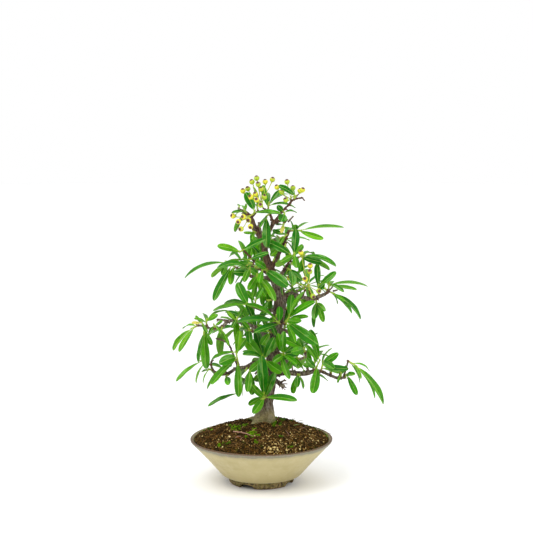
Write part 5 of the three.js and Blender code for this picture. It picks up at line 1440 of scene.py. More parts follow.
def rough_soil(points):
    """The soil's height with its clods and grains, at rows of [x, y]."""
    x, y = points[:, 0], points[:, 1]
    height = soil_height(x, y)
    edge = held((SOIL_RADIUS - np.hypot(x, y)) / 4)
    extra = []
    for a, b in points:
        clod = noise.noise(Vector((a * 0.16, b * 0.16, 3.1)))
        crumb = noise.noise(Vector((a * 0.5, b * 0.5, 7.7)))
        near = noise.voronoi(Vector((a * 0.42, b * 0.42, 0.0)), distance_metric="DISTANCE")[0]
        extra.append(1.0 * clod + 0.55 * crumb + 0.9 * max(0.0, 1 - near[0] * 1.5))
    return height + SOIL_EDGE_LIFT * (1 - edge) + np.array(extra) * (0.35 + 0.65 * edge)


def soil_point(x, y):
    """The place on the soil that a pixel of the photograph shows, or the nearest one to it."""
    line = np.array([on_sight_line(x, y, towards) for towards in np.arange(80, -80, -1.0)])
    line = line[np.hypot(line[:, 0], line[:, 1]) < SOIL_RADIUS - 1.5]
    if not len(line):
        edge = on_sight_line(x, y, 0)[:2]
        flat = edge / np.hypot(*edge) * (SOIL_RADIUS - 2)
        return np.array([*flat, soil_height(*flat)])
    above = line[:, 2] - soil_height(line[:, 0], line[:, 1])
    under = np.flatnonzero(above <= 0)
    pick = line[under[0] if len(under) else above.argmin()]
    pick[2] = soil_height(pick[0], pick[1])
    return pick


def pebble(rng, size, detail):
    """A small rounded stone: points round its middle and faces."""
    rings = 3 + detail
    sides = 5 + 2 * detail
    tilt = np.linspace(0, pi, rings + 2)[1:-1]
    turn = full_turn(sides)
    ball = np.stack([np.outer(np.sin(tilt), np.cos(turn)), np.outer(np.sin(tilt), np.sin(turn)),
                     np.repeat(np.cos(tilt)[:, None], sides, axis=1)], axis=2).reshape(-1, 3)
    ball = np.vstack([ball, [0, 0, 1], [0, 0, -1]])
    ball *= rng.uniform(0.78, 1.15, (len(ball), 1))
    ball *= size * rng.uniform(0.65, 1.15, 3)
    spin = rng.normal(size=(3, 3))
    spin = np.linalg.qr(spin)[0]
    if np.linalg.det(spin) < 0:
        spin[:, 0] *= -1
    last = (rings - 1) * sides
    top, bottom = len(ball) - 2, len(ball) - 1
    faces = ring_faces(rings, sides)[:, ::-1].tolist()
    faces += [[top, i, (i + 1) % sides] for i in range(sides)]
    faces += [[bottom, last + (i + 1) % sides, last + i] for i in range(sides)]
    return ball @ spin.T, faces


def spots_on_soil(rng, count, dense=()):
    """Random places on the soil; dense holds [x, y, spread, share] of thicker patches."""
    places = []
    while len(places) < count:
        pick = rng.random()
        for x, y, spread, share in dense:
            pick -= share
            if pick < 0:
                middle = soil_point(x, y)[:2]
                place = middle + rng.normal(size=2) * spread
                break
        else:
            reach, turn = SOIL_RADIUS * sqrt(rng.random()), rng.random() * 2 * pi
            place = np.array([reach * cos(turn), reach * sin(turn)])
        if np.hypot(*place) < SOIL_RADIUS - 0.8:
            places.append(place)
    return np.array(places)


# Where dark and pale grains lie thickest, as rows of spots_on_soil.
DARK_PATCHES = [(280, 432, 22, 0.2)]
PALE_PATCHES = [(273, 451, 7, 0.14), (284, 446, 12, 0.16), (296, 440, 12, 0.16),
                (262, 437, 9, 0.06), (232, 437, 12, 0.06), (312, 436, 9, 0.06)]

# Large pale stones: the pixel and size in millimetres of each.
STONES = [(227, 425.7, 1.5), (229.7, 438, 1.8), (206, 444.5, 1.5), (222.5, 448, 1.3),
          (270.5, 450, 1.9), (274.5, 448.5, 1.7), (277.5, 451, 1.5), (286.5, 451.5, 1.5),
          (300, 450, 1.4)]

# Pixels where hairs stand over the soil's back edge.
HAIRS = [(292, 417.5), (297, 417), (301, 418.5), (306, 419.5), (311, 420.5), (316, 422),
         (321, 424), (326, 426.5), (218, 424), (226, 421), (236, 419)]


class BONSAI_OT_make_soil(bpy.types.Operator):
    """Fills the bowl with crumbly soil and scatters dark and pale grit and fibre on it"""

    bl_idname = "bonsai.make_soil"
    bl_label = "Make Soil"

    def execute(self, context):
        look = context.scene.bonsai.soil
        lay_bed(look)
        scatter_grains(look)
        scatter_fibres(look)
        return {"FINISHED"}


def lay_bed(look):
    """The mound: a square net of cells drawn out to a disc, on a skirt inside the bowl."""
    count = look.cells
    line = np.linspace(-1, 1, count + 1)
    u, v = (part.ravel() for part in np.meshgrid(line, line))
    wide = np.abs(u) > np.abs(v)
    major, minor = np.where(wide, u, v), np.where(wide, v, u)
    safe = np.where(major == 0, 1, major)
    angle = pi / 4 * minor / safe
    x, y = major * np.cos(angle), major * np.sin(angle)
    flat = np.stack([np.where(wide, x, y), np.where(wide, y, x)], axis=1) * SOIL_RADIUS
    top = np.column_stack([flat, rough_soil(flat)])
    corner = (np.arange(count)[:, None] * (count + 1) + np.arange(count)).ravel()
    faces = np.stack([corner, corner + 1, corner + count + 2, corner + count + 1], axis=1).tolist()
    side = count + 1
    border = [i for i in range(count)] + [side * i + count for i in range(count)]
    border += [side * count + count - i for i in range(count)]
    border += [side * (count - i) for i in range(count)]
    inwards = SOIL_FOOT_RADIUS / SOIL_RADIUS
    low = top[border] * (inwards, inwards, 0) + (0, 0, SOIL_FLOOR)
    start, n = len(top), len(border)
    for i in range(n):
        j = (i + 1) % n
        faces.append([border[j], border[i], start + i, start + j])
    faces.append([start + n - 1 - i for i in range(n)])
    skin = Skin()
    skin.add(np.vstack([top, low]), faces)
    skin.piece("soil_bed", "soil", [soil_finish(look)], ["soil"])


def scatter_grains(look):
    """Loose grains: dark ones everywhere, pale ones where the front of the soil is dry."""
    rng = np.random.default_rng(SEED)
    groups = [
        ("dark_grains", look.grains, (0.5, 1.15), DARK_PATCHES, 0,
         grain_finish("dark_grain", look, look.soil_brown, look.grain_tan, 0.9)),
        ("pale_grit", look.pale_grains, (0.4, 1.0), PALE_PATCHES, 1,
         grain_finish("pale_grain", look, look.grit_tan, look.grit_cream, 0.85)),
    ]
    for name, count, (small, large), dense, detail, finish in groups:
        skin = Skin("grain")
        places = spots_on_soil(rng, count, dense)
        heights = rough_soil(places)
        for (x, y), height in zip(places, heights):
            size = rng.uniform(small, large) * (1.35 if rng.random() < 0.12 else 1)
            stone, faces = pebble(rng, size, detail)
            tone = rng.random() ** (1 if detail else 3)
            skin.add(stone + (x, y, height + size * 0.25), faces, 0, grain=(tone, 0, 0))
        if detail:
            for x, y, size in STONES:
                stone, faces = pebble(rng, size, 2)
                middle = soil_point(x, y) + (0, 0, size * 0.5)
                skin.add(stone + middle, faces, 0, grain=(rng.uniform(0.7, 1), 0, 0))
        skin.piece(name, "soil", [finish])


def scatter_fibres(look):
    """Fine roots and dry fibre on the soil, and hairs that stand over its back edge."""
    rng = np.random.default_rng(SEED + 1)
    skin = Skin("grain")
    for x, y in spots_on_soil(rng, look.fibres):
        turn, length = rng.random() * 2 * pi, rng.uniform(5, 15)
        way = np.array([cos(turn), sin(turn)])
        bow = rng.normal() * 0.15 * length
        reach = np.linspace(-0.5, 0.5, 7) * length
        curl = (0.25 - (reach / length) ** 2) * 4 * bow
        flat = np.array([x, y]) + reach[:, None] * way + curl[:, None] * (-way[1], way[0])
        far = np.hypot(*flat.T)
        flat *= np.minimum(1, (SOIL_RADIUS - 1) / far)[:, None]
        path = np.column_stack([flat, rough_soil(flat) + rng.uniform(0.1, 0.9)])
        thick = rng.uniform(0.16, 0.4)
        skin.add_tube(path, thick * np.linspace(1, 0.5, 7), 4, grain=(rng.random(), 0, 0))
    for x, y in HAIRS:
        for _ in range(3):
            foot = soil_point(x + rng.uniform(-2, 2), y + rng.uniform(1.5, 3))
            way = np.array([rng.normal() * 5, rng.normal() * 3 + 2, rng.uniform(-1.5, 2)])
            path = bent(foot - (0, 0, 0.6), foot + way, (0, 0, rng.uniform(1.2, 3.2)), 8)
            skin.add_tube(path, np.linspace(0.24, 0.1, 8), 4, grain=(rng.random() * 0.4, 0, 0))
    finish = grain_finish("root_fibre", look, look.fibre_brown, look.fibre_pale, 0.85)
    skin.piece("soil_fibres", "soil", [finish])


# Patches of moss: the middle and reach in pixels, tone from dark to bright, share of tufts.
MOSS = [
    [235, 428, 5, 3.2, 0.75, 0.15], [253, 432.5, 6, 3.5, 0.95, 0.17], [243, 426, 3, 2, 0.5, 0.04],
    [276, 423, 6.5, 4, 0.5, 0.17], [283, 419, 4, 3, 0.35, 0.07], [249, 438, 3.4, 1.8, 0.8, 0.04],
    [256.5, 442.5, 2.4, 1.2, 0.9, 0.02], [298, 419.5, 8, 2.2, 0.2, 0.08],
    [312, 423, 8, 3, 0.15, 0.08], [227, 443, 3, 1.6, 0.5, 0.02], [219, 446, 2.4, 1.4, 0.6, 0.02],
    [290, 447.8, 2.2, 1.3, 0.6, 0.02], [281, 437, 2.4, 1.4, 0.5, 0.02],
    [208, 430, 5, 2.4, 0.35, 0.03], [325, 431, 4, 3, 0.3, 0.02], [262, 419.5, 5, 1.6, 0.25, 0.03],
    [255, 419, 5, 1.0, 0.1, 0.05], [248, 420, 5, 1.2, 0.05, 0.05],
]


class BONSAI_OT_make_moss(bpy.types.Operator):
    """Grows tufts of moss in patches on the soil and the trunk's foot"""

    bl_idname = "bonsai.make_moss"
    bl_label = "Make Moss"

    def execute(self, context):
        look = context.scene.bonsai.soil
        rng = np.random.default_rng(SEED + 2)
        skin = Skin("grain")
        for x, y, wide, deep, tone, share in MOSS:
            clumps = rng.normal(size=(2 + int(share * 60), 3)) * 0.62
            for _ in range(int(share * look.moss_tufts)):
                across, away, bright = clumps[rng.integers(len(clumps))]
                near = rng.normal(size=2) * 0.55
                foot = soil_point(x + across * wide + near[0], y + away * deep + near[1] * 0.6)
                foot[2] = rough_soil(foot[None, :2])[0] - 0.2
                shade = tone + 0.35 * bright + rng.normal() * 0.12
                add_tuft(skin, rng, foot, min(max(shade, 0), 1))
        skin.piece("moss_cushions", "soil", [moss_finish(look)])
        return {"FINISHED"}


def add_tuft(skin, rng, foot, tone):
    """A stem of moss with leaflets round it that bend outwards."""
    height = rng.uniform(0.9, 2.2)
    for i in range(6):
        turn = i * GOLDEN_ANGLE + rng.random()
        way = np.array([cos(turn), sin(turn), 0])
        side = np.array([-way[1], way[0], 0]) * rng.uniform(0.16, 0.26)
        root = foot + (0, 0, height * 0.12 * i)
        knee = root + way * height * 0.3 + (0, 0, height * 0.4)
        tip = root + way * height * rng.uniform(0.45, 0.7) + (0, 0, height * rng.uniform(0.4, 0.75))
        low = (0, 0, -0.09)
        points = np.array([root - side, root + side, knee + side, knee - side, tip,
                           root + low, knee + low])
        faces = [[0, 1, 2, 3], [3, 2, 4], [1, 0, 5], [1, 5, 6, 2], [5, 0, 3, 6], [6, 3, 4],
                 [2, 6, 4]]
        marks = [[share, tone, 0] for share in (0, 0, 0.6, 0.6, 1, 0, 0.6)]
        skin.add(points, faces, 0, grain=marks)


DRY_PINK = (196, 150, 132)
DRY_ORANGE = (214, 122, 44)
DRY_GREEN = (142, 176, 96)

# The long fallen stalk's corners, then the ends and thickness of short ones, in pixels and mm.
LONG_STALK = [(233.5, 433.2), (241, 434.3), (249, 436.2), (257.2, 438.8)]
SHORT_STALKS = [((235, 439), (241, 437.5), 0.6), ((240, 442), (243, 438.5), 0.4),
                ((289, 436), (285, 431), 0.35), ((300, 430), (309, 427.5), 0.35)]

# Bits of fallen leaves: the pixel, turn, length in millimetres and tone of each.
LEAF_BITS = [(296, 426.2, 0.35, 8.5, 0.9), (239.3, 419.8, 0.8, 3.2, 0.0),
             (237.8, 438.6, 0.2, 3.6, 0.05), (262, 441, 1.2, 3, 0.6),
             (310, 433, -0.6, 3.5, 0.5), (211, 436, 0.5, 4, 0.4)]


class BONSAI_OT_make_litter(bpy.types.Operator):
    """Drops fallen stalks and dry leaf bits on the soil"""

    bl_idname = "bonsai.make_litter"
    bl_label = "Make Litter"

    def execute(self, context):
        look = context.scene.bonsai.soil
        skin = Skin("grain")
        corners = [soil_point(*corner) for corner in LONG_STALK]
        path = np.vstack([bent(a, b, (0, 0, 0.2), 4)[:-1] for a, b in zip(corners, corners[1:])])
        path[:, 2] = rough_soil(path[:, :2]) + 1.1
        skin.add_tube(path, np.linspace(0.75, 0.4, len(path)), 8, grain=(0.75, 0, 0))
        for start, end, thick in SHORT_STALKS:
            path = bent(soil_point(*start), soil_point(*end), (0, 0, 1.2), 6)
            skin.add_tube(path + (0, 0, 0.7), np.linspace(thick, thick * 0.6, 6), 6,
                          grain=(0.45, 0, 0))
        finish = grain_finish("fallen_stalk", look, look.grain_red, srgb(*DRY_PINK), 0.6)
        skin.piece("fallen_stalks", "soil", [finish])
        leaf_bits = Skin("grain")
        for row in LEAF_BITS:
            add_leaf_bit(leaf_bits, *row)
        finish = grain_finish("fallen_leaf", look, srgb(*DRY_ORANGE), srgb(*DRY_GREEN), 0.55)
        leaf_bits.piece("fallen_leaf_bits", "soil", [finish])
        return {"FINISHED"}


def add_leaf_bit(skin, x, y, turn, length, tone):
    """A curled bit of a dry leaf."""
    middle = soil_point(x, y) + (0, 0, 1.0)
    way = np.array([cos(turn), sin(turn), 0.1])
    side = np.array([-way[1], way[0], 0])
    shares = np.linspace(0, 1, 7)
    wide = length * 0.16 * np.sin(np.clip(shares * pi, 0.12, pi - 0.12))
    line = middle + (shares[:, None] - 0.5) * length * way
    line[:, 2] += 0.5 * np.sin(shares * 3)
    rings = np.stack([line + side * wide[:, None] + (0, 0, 0.3), line + (0, 0, 0.12),
                      line - side * wide[:, None] + (0, 0, 0.3), line - (0, 0, 0.12)], axis=1)
    skin.add(rings.reshape(-1, 3), tube_faces(7, 4), 0, grain=(tone, 0, 0))


# Wood


# Where wood is old and grey, in millimetres over the ground plane and from the pot's axis.
OLD_WOOD_HIGH = 215
GREY_LIMB_LOW = 175
GREY_LIMB_X = -20
FOOT_SWELL = 3
ROOT_SWELL = 1.8
SWELL_FRONT = 22
THINNEST_STUB = 0.85

# How stubs and spurs narrow towards their ends, and the swollen foot of a shoot
STUB_TAPER = np.array([1.15, 1.0, 0.92, 0.95, 0.85, 0.9, 0.7])
SPUR_TAPER = np.array([1.5, 1.15, 0.95, 1.05, 0.9, 0.4])
CUSHION_RADII = [0.9, 1.5, 1.55, 1.0]

# The marks of twigs for the bark's finish: girth, height and crack.
TWIG_GIRTH = 1.2
TWIG_HEIGHT = 200
TWIG_CRACK = 0.1
THORN_CRACK = -0.15

# Spurs stand this many steps apart on every limb past the trunk and roots.
SPUR_LIMBS = 4
SPUR_STEP = 5

# Each row is a stub, thorn or side bud: [x, y, towards] of its root and of its end, radius.
STUBS = [
    [[279, 384, -7], [284.5, 386, 3], 1.8], [[281, 382, -6], [286, 380.5, 1], 1.1],
    [[279, 383, -6], [286.5, 388, 2], 0.8], [[279, 383, -5], [282.5, 389.5, 2], 0.7],
    [[280, 384, -4], [287.5, 384, 3], 0.7], [[278, 382, -5], [279.5, 388, 3], 0.6],
    [[281, 383, -4], [284.5, 379, 3], 0.7], [[281, 384, -2], [285.5, 390, 4], 0.6],
    [[255, 229, -4], [261, 222, -3], 1.7], [[262, 236, -2], [258.5, 222, -2], 1.5],
    [[240, 211, -2], [238, 207.5, -1], 1.2], [[251, 218, -4], [256, 213, -6], 1.1],
    [[333, 291, 10], [337.5, 289.8, 8], 1.2], [[347, 377.5, 4], [351, 380.5, 6], 0.9],
    [[238, 368, 7], [240, 384, 9], 1.0], [[197, 325, 14], [193.5, 321.5, 15], 0.9],
    [[293.5, 199.5, 1], [299.5, 193, 3], 0.9], [[302.5, 197.6, 1], [305, 200.5, 2], 0.8],
    [[288, 222, 0], [293.5, 216, 1], 1.1], [[329, 290.5, 11], [333.5, 285.5, 12], 1.0],
    [[262, 367, -6], [255, 374, 2], 1.5],
]


def lumps(place, across, up, shift=(0, 0, 0)):
    """Smooth noise in millimetres; higher scales make finer lumps."""
    x, y, z = place
    return noise.noise(Vector((x * across, y * across, z * up)) + Vector(shift))


def bark_age(place, girth):
    """The girth that the bark's colour goes by: more low down, most on the left's old branch."""
    x, _, z = place
    if z > OLD_WOOD_HIGH:
        return girth
    left = min(max((GREY_LIMB_X - x) / 12, 0), 1) if z > GREY_LIMB_LOW else 0
    return girth + 0.9 + 1.3 * left


class BONSAI_OT_make_wood(bpy.types.Operator):
    """Grows trunk, roots and branches as one skin of bark, with twigs and stubs"""

    bl_idname = "bonsai.make_wood"
    bl_label = "Make Wood"

    def execute(self, context):
        look = context.scene.bonsai.wood
        finish = bark_finish(look)
        fuse_limbs(look, finish)
        add_twigs(finish)
        return {"FINISHED"}


def fuse_limbs(look, finish):
    """The limbs fused into one skin, swollen, fluted and cracked by their girth."""
    skin = Skin()
    for number, (points, girths) in enumerate(PLANT.limbs):
        sides = 28 if number == 0 else 14
        slim = held(1.9 - girths) * 0.22
        skin.add_tube(points, girths + slim, sides)
    rough = skin.piece("rough_limbs", "bark", [finish])
    fuse = rough.modifiers.new("Fuse", "REMESH")
    fuse.mode, fuse.voxel_size = "VOXEL", look.grain
    ease = rough.modifiers.new("Ease", "SMOOTH")
    ease.factor, ease.iterations = 0.5, 3
    graph = bpy.context.evaluated_depsgraph_get()
    mesh = bpy.data.meshes.new_from_object(rough.evaluated_get(graph))
    bpy.data.objects.remove(rough)
    count = len(mesh.vertices)
    places, normals = np.empty(count * 3), np.empty(count * 3)
    mesh.vertices.foreach_get("co", places)
    mesh.vertex_normals.foreach_get("vector", normals)
    places = places.reshape(-1, 3) / MM - AXIS
    tree = kdtree.KDTree(len(PLANT.wood))
    for i, point in enumerate(PLANT.wood):
        tree.insert(point, i)
    tree.balance()
    marks, push = np.empty((count, 3)), np.empty(count)
    for i, place in enumerate(places):
        near = tree.find_n(place, 3)
        weights = [1 / (0.2 + distance) for _, _, distance in near]
        girth = sum(w * PLANT.girths[n] for w, (_, n, _) in zip(weights, near)) / sum(weights)
        old = min(max((girth - 1.5) / 5, 0), 1)
        flute, knot = lumps(place, 0.11, 0.035), lumps(place, 0.3, 0.24, (9, 4, 2))
        plate, fine = lumps(place, 0.62, 0.2, (3, 8, 1)), lumps(place, 1.5, 0.7)
        crack = -abs(plate) * 1.1
        push[i] = girth * (0.07 * flute + 0.09 * knot) + old * (0.6 * (0.25 + crack) + 0.26 * fine)
        push[i] += (1 - old) * 0.5 * noise.noise(Vector(place) * 0.55)
        marks[i] = bark_age(place, girth), place[2], crack + 0.12
    places += (push + foot_flare(places))[:, None] * normals.reshape(-1, 3)
    mesh.vertices.foreach_set("co", ((places + AXIS) * MM).ravel())
    lay_mark(mesh, "bark", marks)
    smoothed(mesh)
    made = bpy.data.objects.new("bark_and_limbs", mesh)
    settle_piece(made, ["trunk_and_branches"])


def foot_flare(places):
    """How far the trunk's foot swells, to the right and over the root in front."""
    x, y, z = places.T
    right = held((x - 4) / 6) * held((90 - z) / 14)
    left = held((-3 - x) / 5) * held((78 - z) / 6)
    return (y < SWELL_FRONT) * (FOOT_SWELL * right + ROOT_SWELL * left)


def add_twigs(finish):
    """The thin twigs to the sprays and bunches, and the cut stubs, each a little bent."""
    rng = np.random.default_rng(SEED + 3)
    skin = Skin("bark")
    for foot, end, radius in PLANT.twigs:
        length = np.linalg.norm(end - foot)
        path = bent(foot, end, rng.normal(size=3) * length * 0.03, 9)
        girths = np.linspace(radius, TWIG_END, 9)
        girths *= 1 + 0.12 * np.sin(np.arange(9) * 2.1 + rng.random() * 6)
        mark = bark_age(end, TWIG_GIRTH), TWIG_HEIGHT, TWIG_CRACK
        skin.add_tube(path, girths, 10, bark=mark)
    for root, end, radius in STUBS:
        start, stop = on_sight_line(*root), on_sight_line(*end)
        path = bent(start, stop, rng.normal(size=3) * 0.4, 7)
        girths = radius * STUB_TAPER
        mark = bark_age(stop, TWIG_GIRTH + radius), TWIG_HEIGHT, TWIG_CRACK
        if radius < THINNEST_STUB:
            mark = TWIG_GIRTH, TWIG_HEIGHT, THORN_CRACK
        skin.add_tube(path, girths, 10, bark=mark)
    add_spurs(skin, rng)
    for start, end in PLANT.shoots + [row[1:3] for row in PLANT.young]:
        along = unit(end - start)
        path = np.array([start - along * 1.6, start - along * 0.6, start + along * 0.5,
                         start + along * 1.3])
        skin.add_tube(path, CUSHION_RADII, 10, bark=(1.4, TWIG_HEIGHT, TWIG_CRACK))
    skin.piece("twigs_and_stubs", "bark", [finish], ["trunk_and_branches"])


def add_spurs(skin, rng):
    """Short spurs and old leaf cushions along the limbs."""
    for points, girths in PLANT.limbs[SPUR_LIMBS:]:
        for i in range(3, len(points) - 2, SPUR_STEP):
            ahead = unit(points[i + 1] - points[i])
            way = unit(square_to(rng.normal(size=3), ahead) + ahead * 0.5)
            foot = points[i] + way * (girths[i] - 0.4)
            length = rng.uniform(1.2, 3.4)
            path = bent(foot, foot + way * length, ahead * 0.3, 6)
            thick = rng.uniform(0.6, 1.0) * SPUR_TAPER
            mark = bark_age(foot, TWIG_GIRTH), TWIG_HEIGHT, TWIG_CRACK
            skin.add_tube(path, thick, 8, bark=mark)


# Leaves


LEAF_SHARES = np.array([0, 0.03, 0.07, 0.115, 0.17, 0.25, 0.34, 0.43, 0.52, 0.61, 0.69, 0.76, 0.82,
                        0.88, 0.93, 0.965, 0.988, 1])
UPPER_ACROSS = np.array([-1, -0.88, -0.55, -0.14, 0, 0.14, 0.55, 0.88, 1])
LOWER_ACROSS = UPPER_ACROSS[-2:0:-1]
STALK_HALF = 0.47
BLADE_HALF = 0.13
BUD_RADII = [0.75, 0.85, 0.75, 0.5, 0.25, 0.05]
GROOVE_DEPTH = 0.1
KEEL_DEPTH = 0.34

# Leaves that stand out: the pixel of the tip, tone from fresh to deep, warmth from cool to yellow.
LEAF_LOOKS = [
    (323.5, 238.7, 0.25, 0.95), (344, 227.5, 0.45, 0.7), (217.3, 245.7, 0.3, 0.75),
    (245.3, 192.5, 0.75, 0.05), (278.4, 185.7, 0.9, 0.05), (280.7, 213.6, 0.6, 0.3),
    (266.9, 247.5, 0.85, 0.1), (265.5, 239, 0.8, 0.1), (268.9, 252.7, 0.85, 0.1),
    (281, 221.5, 0.7, 0), (295.9, 228.8, 0.95, 0.1), (213.5, 300.6, 0.8, 0.25),
    (184.5, 278.3, 0.7, 0.4), (217, 268.3, 0.8, 0.2), (211.2, 277, 0.3, 0.7),
    (288.1, 286.3, 0.75, 0.1), (237.7, 282.3, 0.6, 0.15), (254, 332.4, 0.9, 0.05),
    (239.7, 330.5, 0.3, 0.75), (233.2, 313.5, 0.2, 0.8), (317.9, 344.4, 0.7, 0.15),
    (261.5, 355.6, 0.9, 0.1), (237, 322, 0.85, 0.1), (224, 303.6, 0.8, 0.3),
    (178.8, 351.8, 0.66, 0.95), (173, 350.4, 0.62, 0.95), (206.5, 369, 0.55, 0.45),
    (238.7, 397.1, 0.6, 0.35), (312.5, 393.3, 0.55, 0.35), (297.2, 400.5, 0.55, 0.2),
    (248.5, 405, 0.2, 0.5), (252.8, 413.5, 0.35, 0.45), (191.5, 322.5, 0.3, 1.5),
    (281, 233, 0.2, 1.45), (383.4, 404.3, 0.6, 0.5), (360.6, 319.3, 0.85, 0.2),
    (322.3, 262.5, 0.85, 0.1), (336.2, 266.4, 0.8, 0.2), (211.5, 384.5, 0.5, 0.4),
    (207, 389, 0.4, 0.5),
]


def own_look(leaf, tone, warmth):
    """The tone and warmth of a leaf that stands out by its colour, or those it was given."""
    x, y = seen_at(leaf.tip)
    for tip_x, tip_y, own_tone, own_warmth in LEAF_LOOKS:
        if hypot(x - tip_x, y - tip_y) < 0.5:
            return own_tone, own_warmth
    return tone, warmth


def add_leaf(skin, leaf, look, rng, warmth):
    """Adds a thin blade, folded along its midrib, with a rolled margin and a keel below."""
    shares = LEAF_SHARES
    points = leaf.points(shares)
    climb = (4 * (1 - 2 * shares))[:, None]
    forward = leaf.chord + (leaf.face * leaf.arch + leaf.side * leaf.sweep) * climb
    forward /= np.linalg.norm(forward, axis=1)[:, None]
    side = leaf.side - forward * (forward @ leaf.side)[:, None]
    side /= np.linalg.norm(side, axis=1)[:, None]
    upper = np.cross(forward, side)
    twist = rng.normal() * 0.12 * (shares - 0.25)
    along, over = np.cos(twist)[:, None], np.sin(twist)[:, None]
    side, upper = side * along + upper * over, upper * along - side * over
    tip = np.sqrt(np.clip(1 - np.maximum((shares - 0.7) / 0.3, 0) ** 2, 0.0004, None))
    half = leaf.half_widths(shares)
    half = np.maximum(half, STALK_HALF * np.where(shares > 0.5, tip, 1))
    blade = held((half - STALK_HALF) / 1.2)
    fold = look.fold * rng.uniform(0.6, 1.35)
    wave, phase = rng.uniform(0.02, 0.09), rng.random(2) * 6
    across = np.concatenate([UPPER_ACROSS, LOWER_ACROSS])
    below = np.arange(len(across)) >= len(UPPER_ACROSS)
    off = np.abs(across)
    rise = fold * half[:, None] * off ** 1.15 - 0.35
    rise -= 0.3 * held(off - 0.75) ** 2 * 8 * half[:, None] * 0.12
    ripple = np.sin(shares[:, None] * rng.uniform(12, 20) + phase[(across > 0).astype(int)])
    rise += wave * half[:, None] * off ** 2 * ripple
    rise *= blade[:, None]
    groove = np.where(below, -KEEL_DEPTH, -GROOVE_DEPTH) * held(1 - off / 0.13)
    skin_depth = np.where(below, -BLADE_HALF, BLADE_HALF) * (1 - 0.4 * off)
    thick = groove * np.clip(1.2 - shares, 0.2, 1)[:, None] + skin_depth
    round_stalk = np.where(below, -1, 1) * 0.45 * np.sqrt(held(1 - across ** 2))
    rise += thick * blade[:, None] + round_stalk * (1 - blade[:, None]) * (tip ** 0.5)[:, None]
    places = points[:, None] + side[:, None] * (across * half[:, None])[:, :, None]
    places = places + upper[:, None] * rise[:, :, None]
    count, sides = len(shares), len(across)
    faces = tube_faces(count, sides)
    kinds = [0 if i < len(UPPER_ACROSS) - 1 else 1 for i in range(sides)] * (count - 1) + [1, 1]
    tone, warmth = own_look(leaf, rng.random(), min(max(warmth + rng.normal() * 0.12, 0), 1))
    # Which half of the blade gets the painted shade; the other half gets the painted sheen.
    shaded = rng.choice((-1, 1))
    blade_mark = np.stack([np.repeat(shares * leaf.length, sides),
                           (across * half[:, None]).ravel(), np.full(count * sides, tone)], axis=1)
    growth = np.stack([np.repeat(shares, sides), np.tile(across, count) * shaded,
                       np.full(count * sides, warmth)], axis=1)
    skin.add(places.reshape(-1, 3), [face[::-1] for face in faces], kinds, blade=blade_mark,
             growth=growth)


def add_stipules(skin, rng, seat, leaf):
    """Adds the two needle-like stipules at a leaf's foot."""
    for hand in (-1, 1):
        way = unit(leaf.chord + leaf.side * hand * rng.uniform(0.4, 0.9) + rng.normal(size=3) * 0.2)
        length = rng.uniform(1.8, 3.6)
        path = bent(seat, seat + way * length, leaf.face * 0.3, 5)
        skin.add_tube(path, np.linspace(0.3, 0.07, 5), 5, 2, blade=(0, 0, rng.random()),
                      growth=(0.8, rng.random(), 0.6))


class BONSAI_OT_make_leaves(bpy.types.Operator):
    """Dresses every spray with its shoot, bud, stipules and folded, veined leaves"""

    bl_idname = "bonsai.make_leaves"
    bl_label = "Make Leaves"

    def execute(self, context):
        look = context.scene.bonsai.leaves
        finishes = [leaf_finish(look, False), leaf_finish(look, True), shoot_finish(look)]
        slots = ["leaves_mid", "leaves_light", "leaves_dark"]
        for number, row in enumerate(SPRAYS):
            skin = Skin("blade", "growth")
            rng = np.random.default_rng(SEED * (number + 5))
            warmth = WARMTH.get(row[0], 0.35)
            add_shoot(skin, rng, look, warmth, PLANT.shoots[number], PLANT.leaves[number])
            skin.piece("foliage_" + row[0], slots[number % 3], finishes, ["spray_" + row[0]])
        skins = {}
        for number, (row, leaves) in enumerate(zip(PLANT.young, PLANT.young_leaves)):
            skin = skins.setdefault(row[0], Skin("blade", "growth"))
            rng = np.random.default_rng(SEED * (number + 305))
            add_shoot(skin, rng, look, YOUNG_WARMTH[row[0]], row[1:3], leaves)
        for number, (name, skin) in enumerate(skins.items()):
            skin.piece(name, slots[number % 3], finishes)
        return {"FINISHED"}


def add_shoot(skin, rng, look, warmth, ends, leaves):
    """A shoot with swollen nodes and a pointed bud in scales, and its leaves."""
    start, end = ends
    along = unit(end - start)
    tip = end + along * SEAT_DEPTH * 2
    shares = np.linspace(0, 1, 12)
    path = mixed(start, tip, shares[:, None])
    radii = np.linspace(SHOOT_DIAMETER / 2, 0.85, 12) * (1 + 0.1 * np.sin(shares * 19))
    marks = np.stack([shares, np.full(12, rng.random()), np.full(12, 0.6)], axis=1)
    skin.add_tube(path, radii, 10, 2, blade=(0, 0, 0.5), growth=marks)
    for turn in range(3):
        lean = rng.normal(size=3) * 0.4
        path = bent(tip - along * 0.8, tip + along * (1.8 - turn * 0.4) + lean * 0.8, lean * 0.3, 6)
        skin.add_tube(path, BUD_RADII, 8, 2, blade=(0, 0, 0.5),
                      growth=(0.5 + 0.2 * turn, rng.random(), 0.6))
    for leaf in leaves:
        add_leaf(skin, leaf, look, rng, warmth)
        add_stipules(skin, rng, leaf.base - leaf.chord * SEAT_DEPTH, leaf)


# Berries


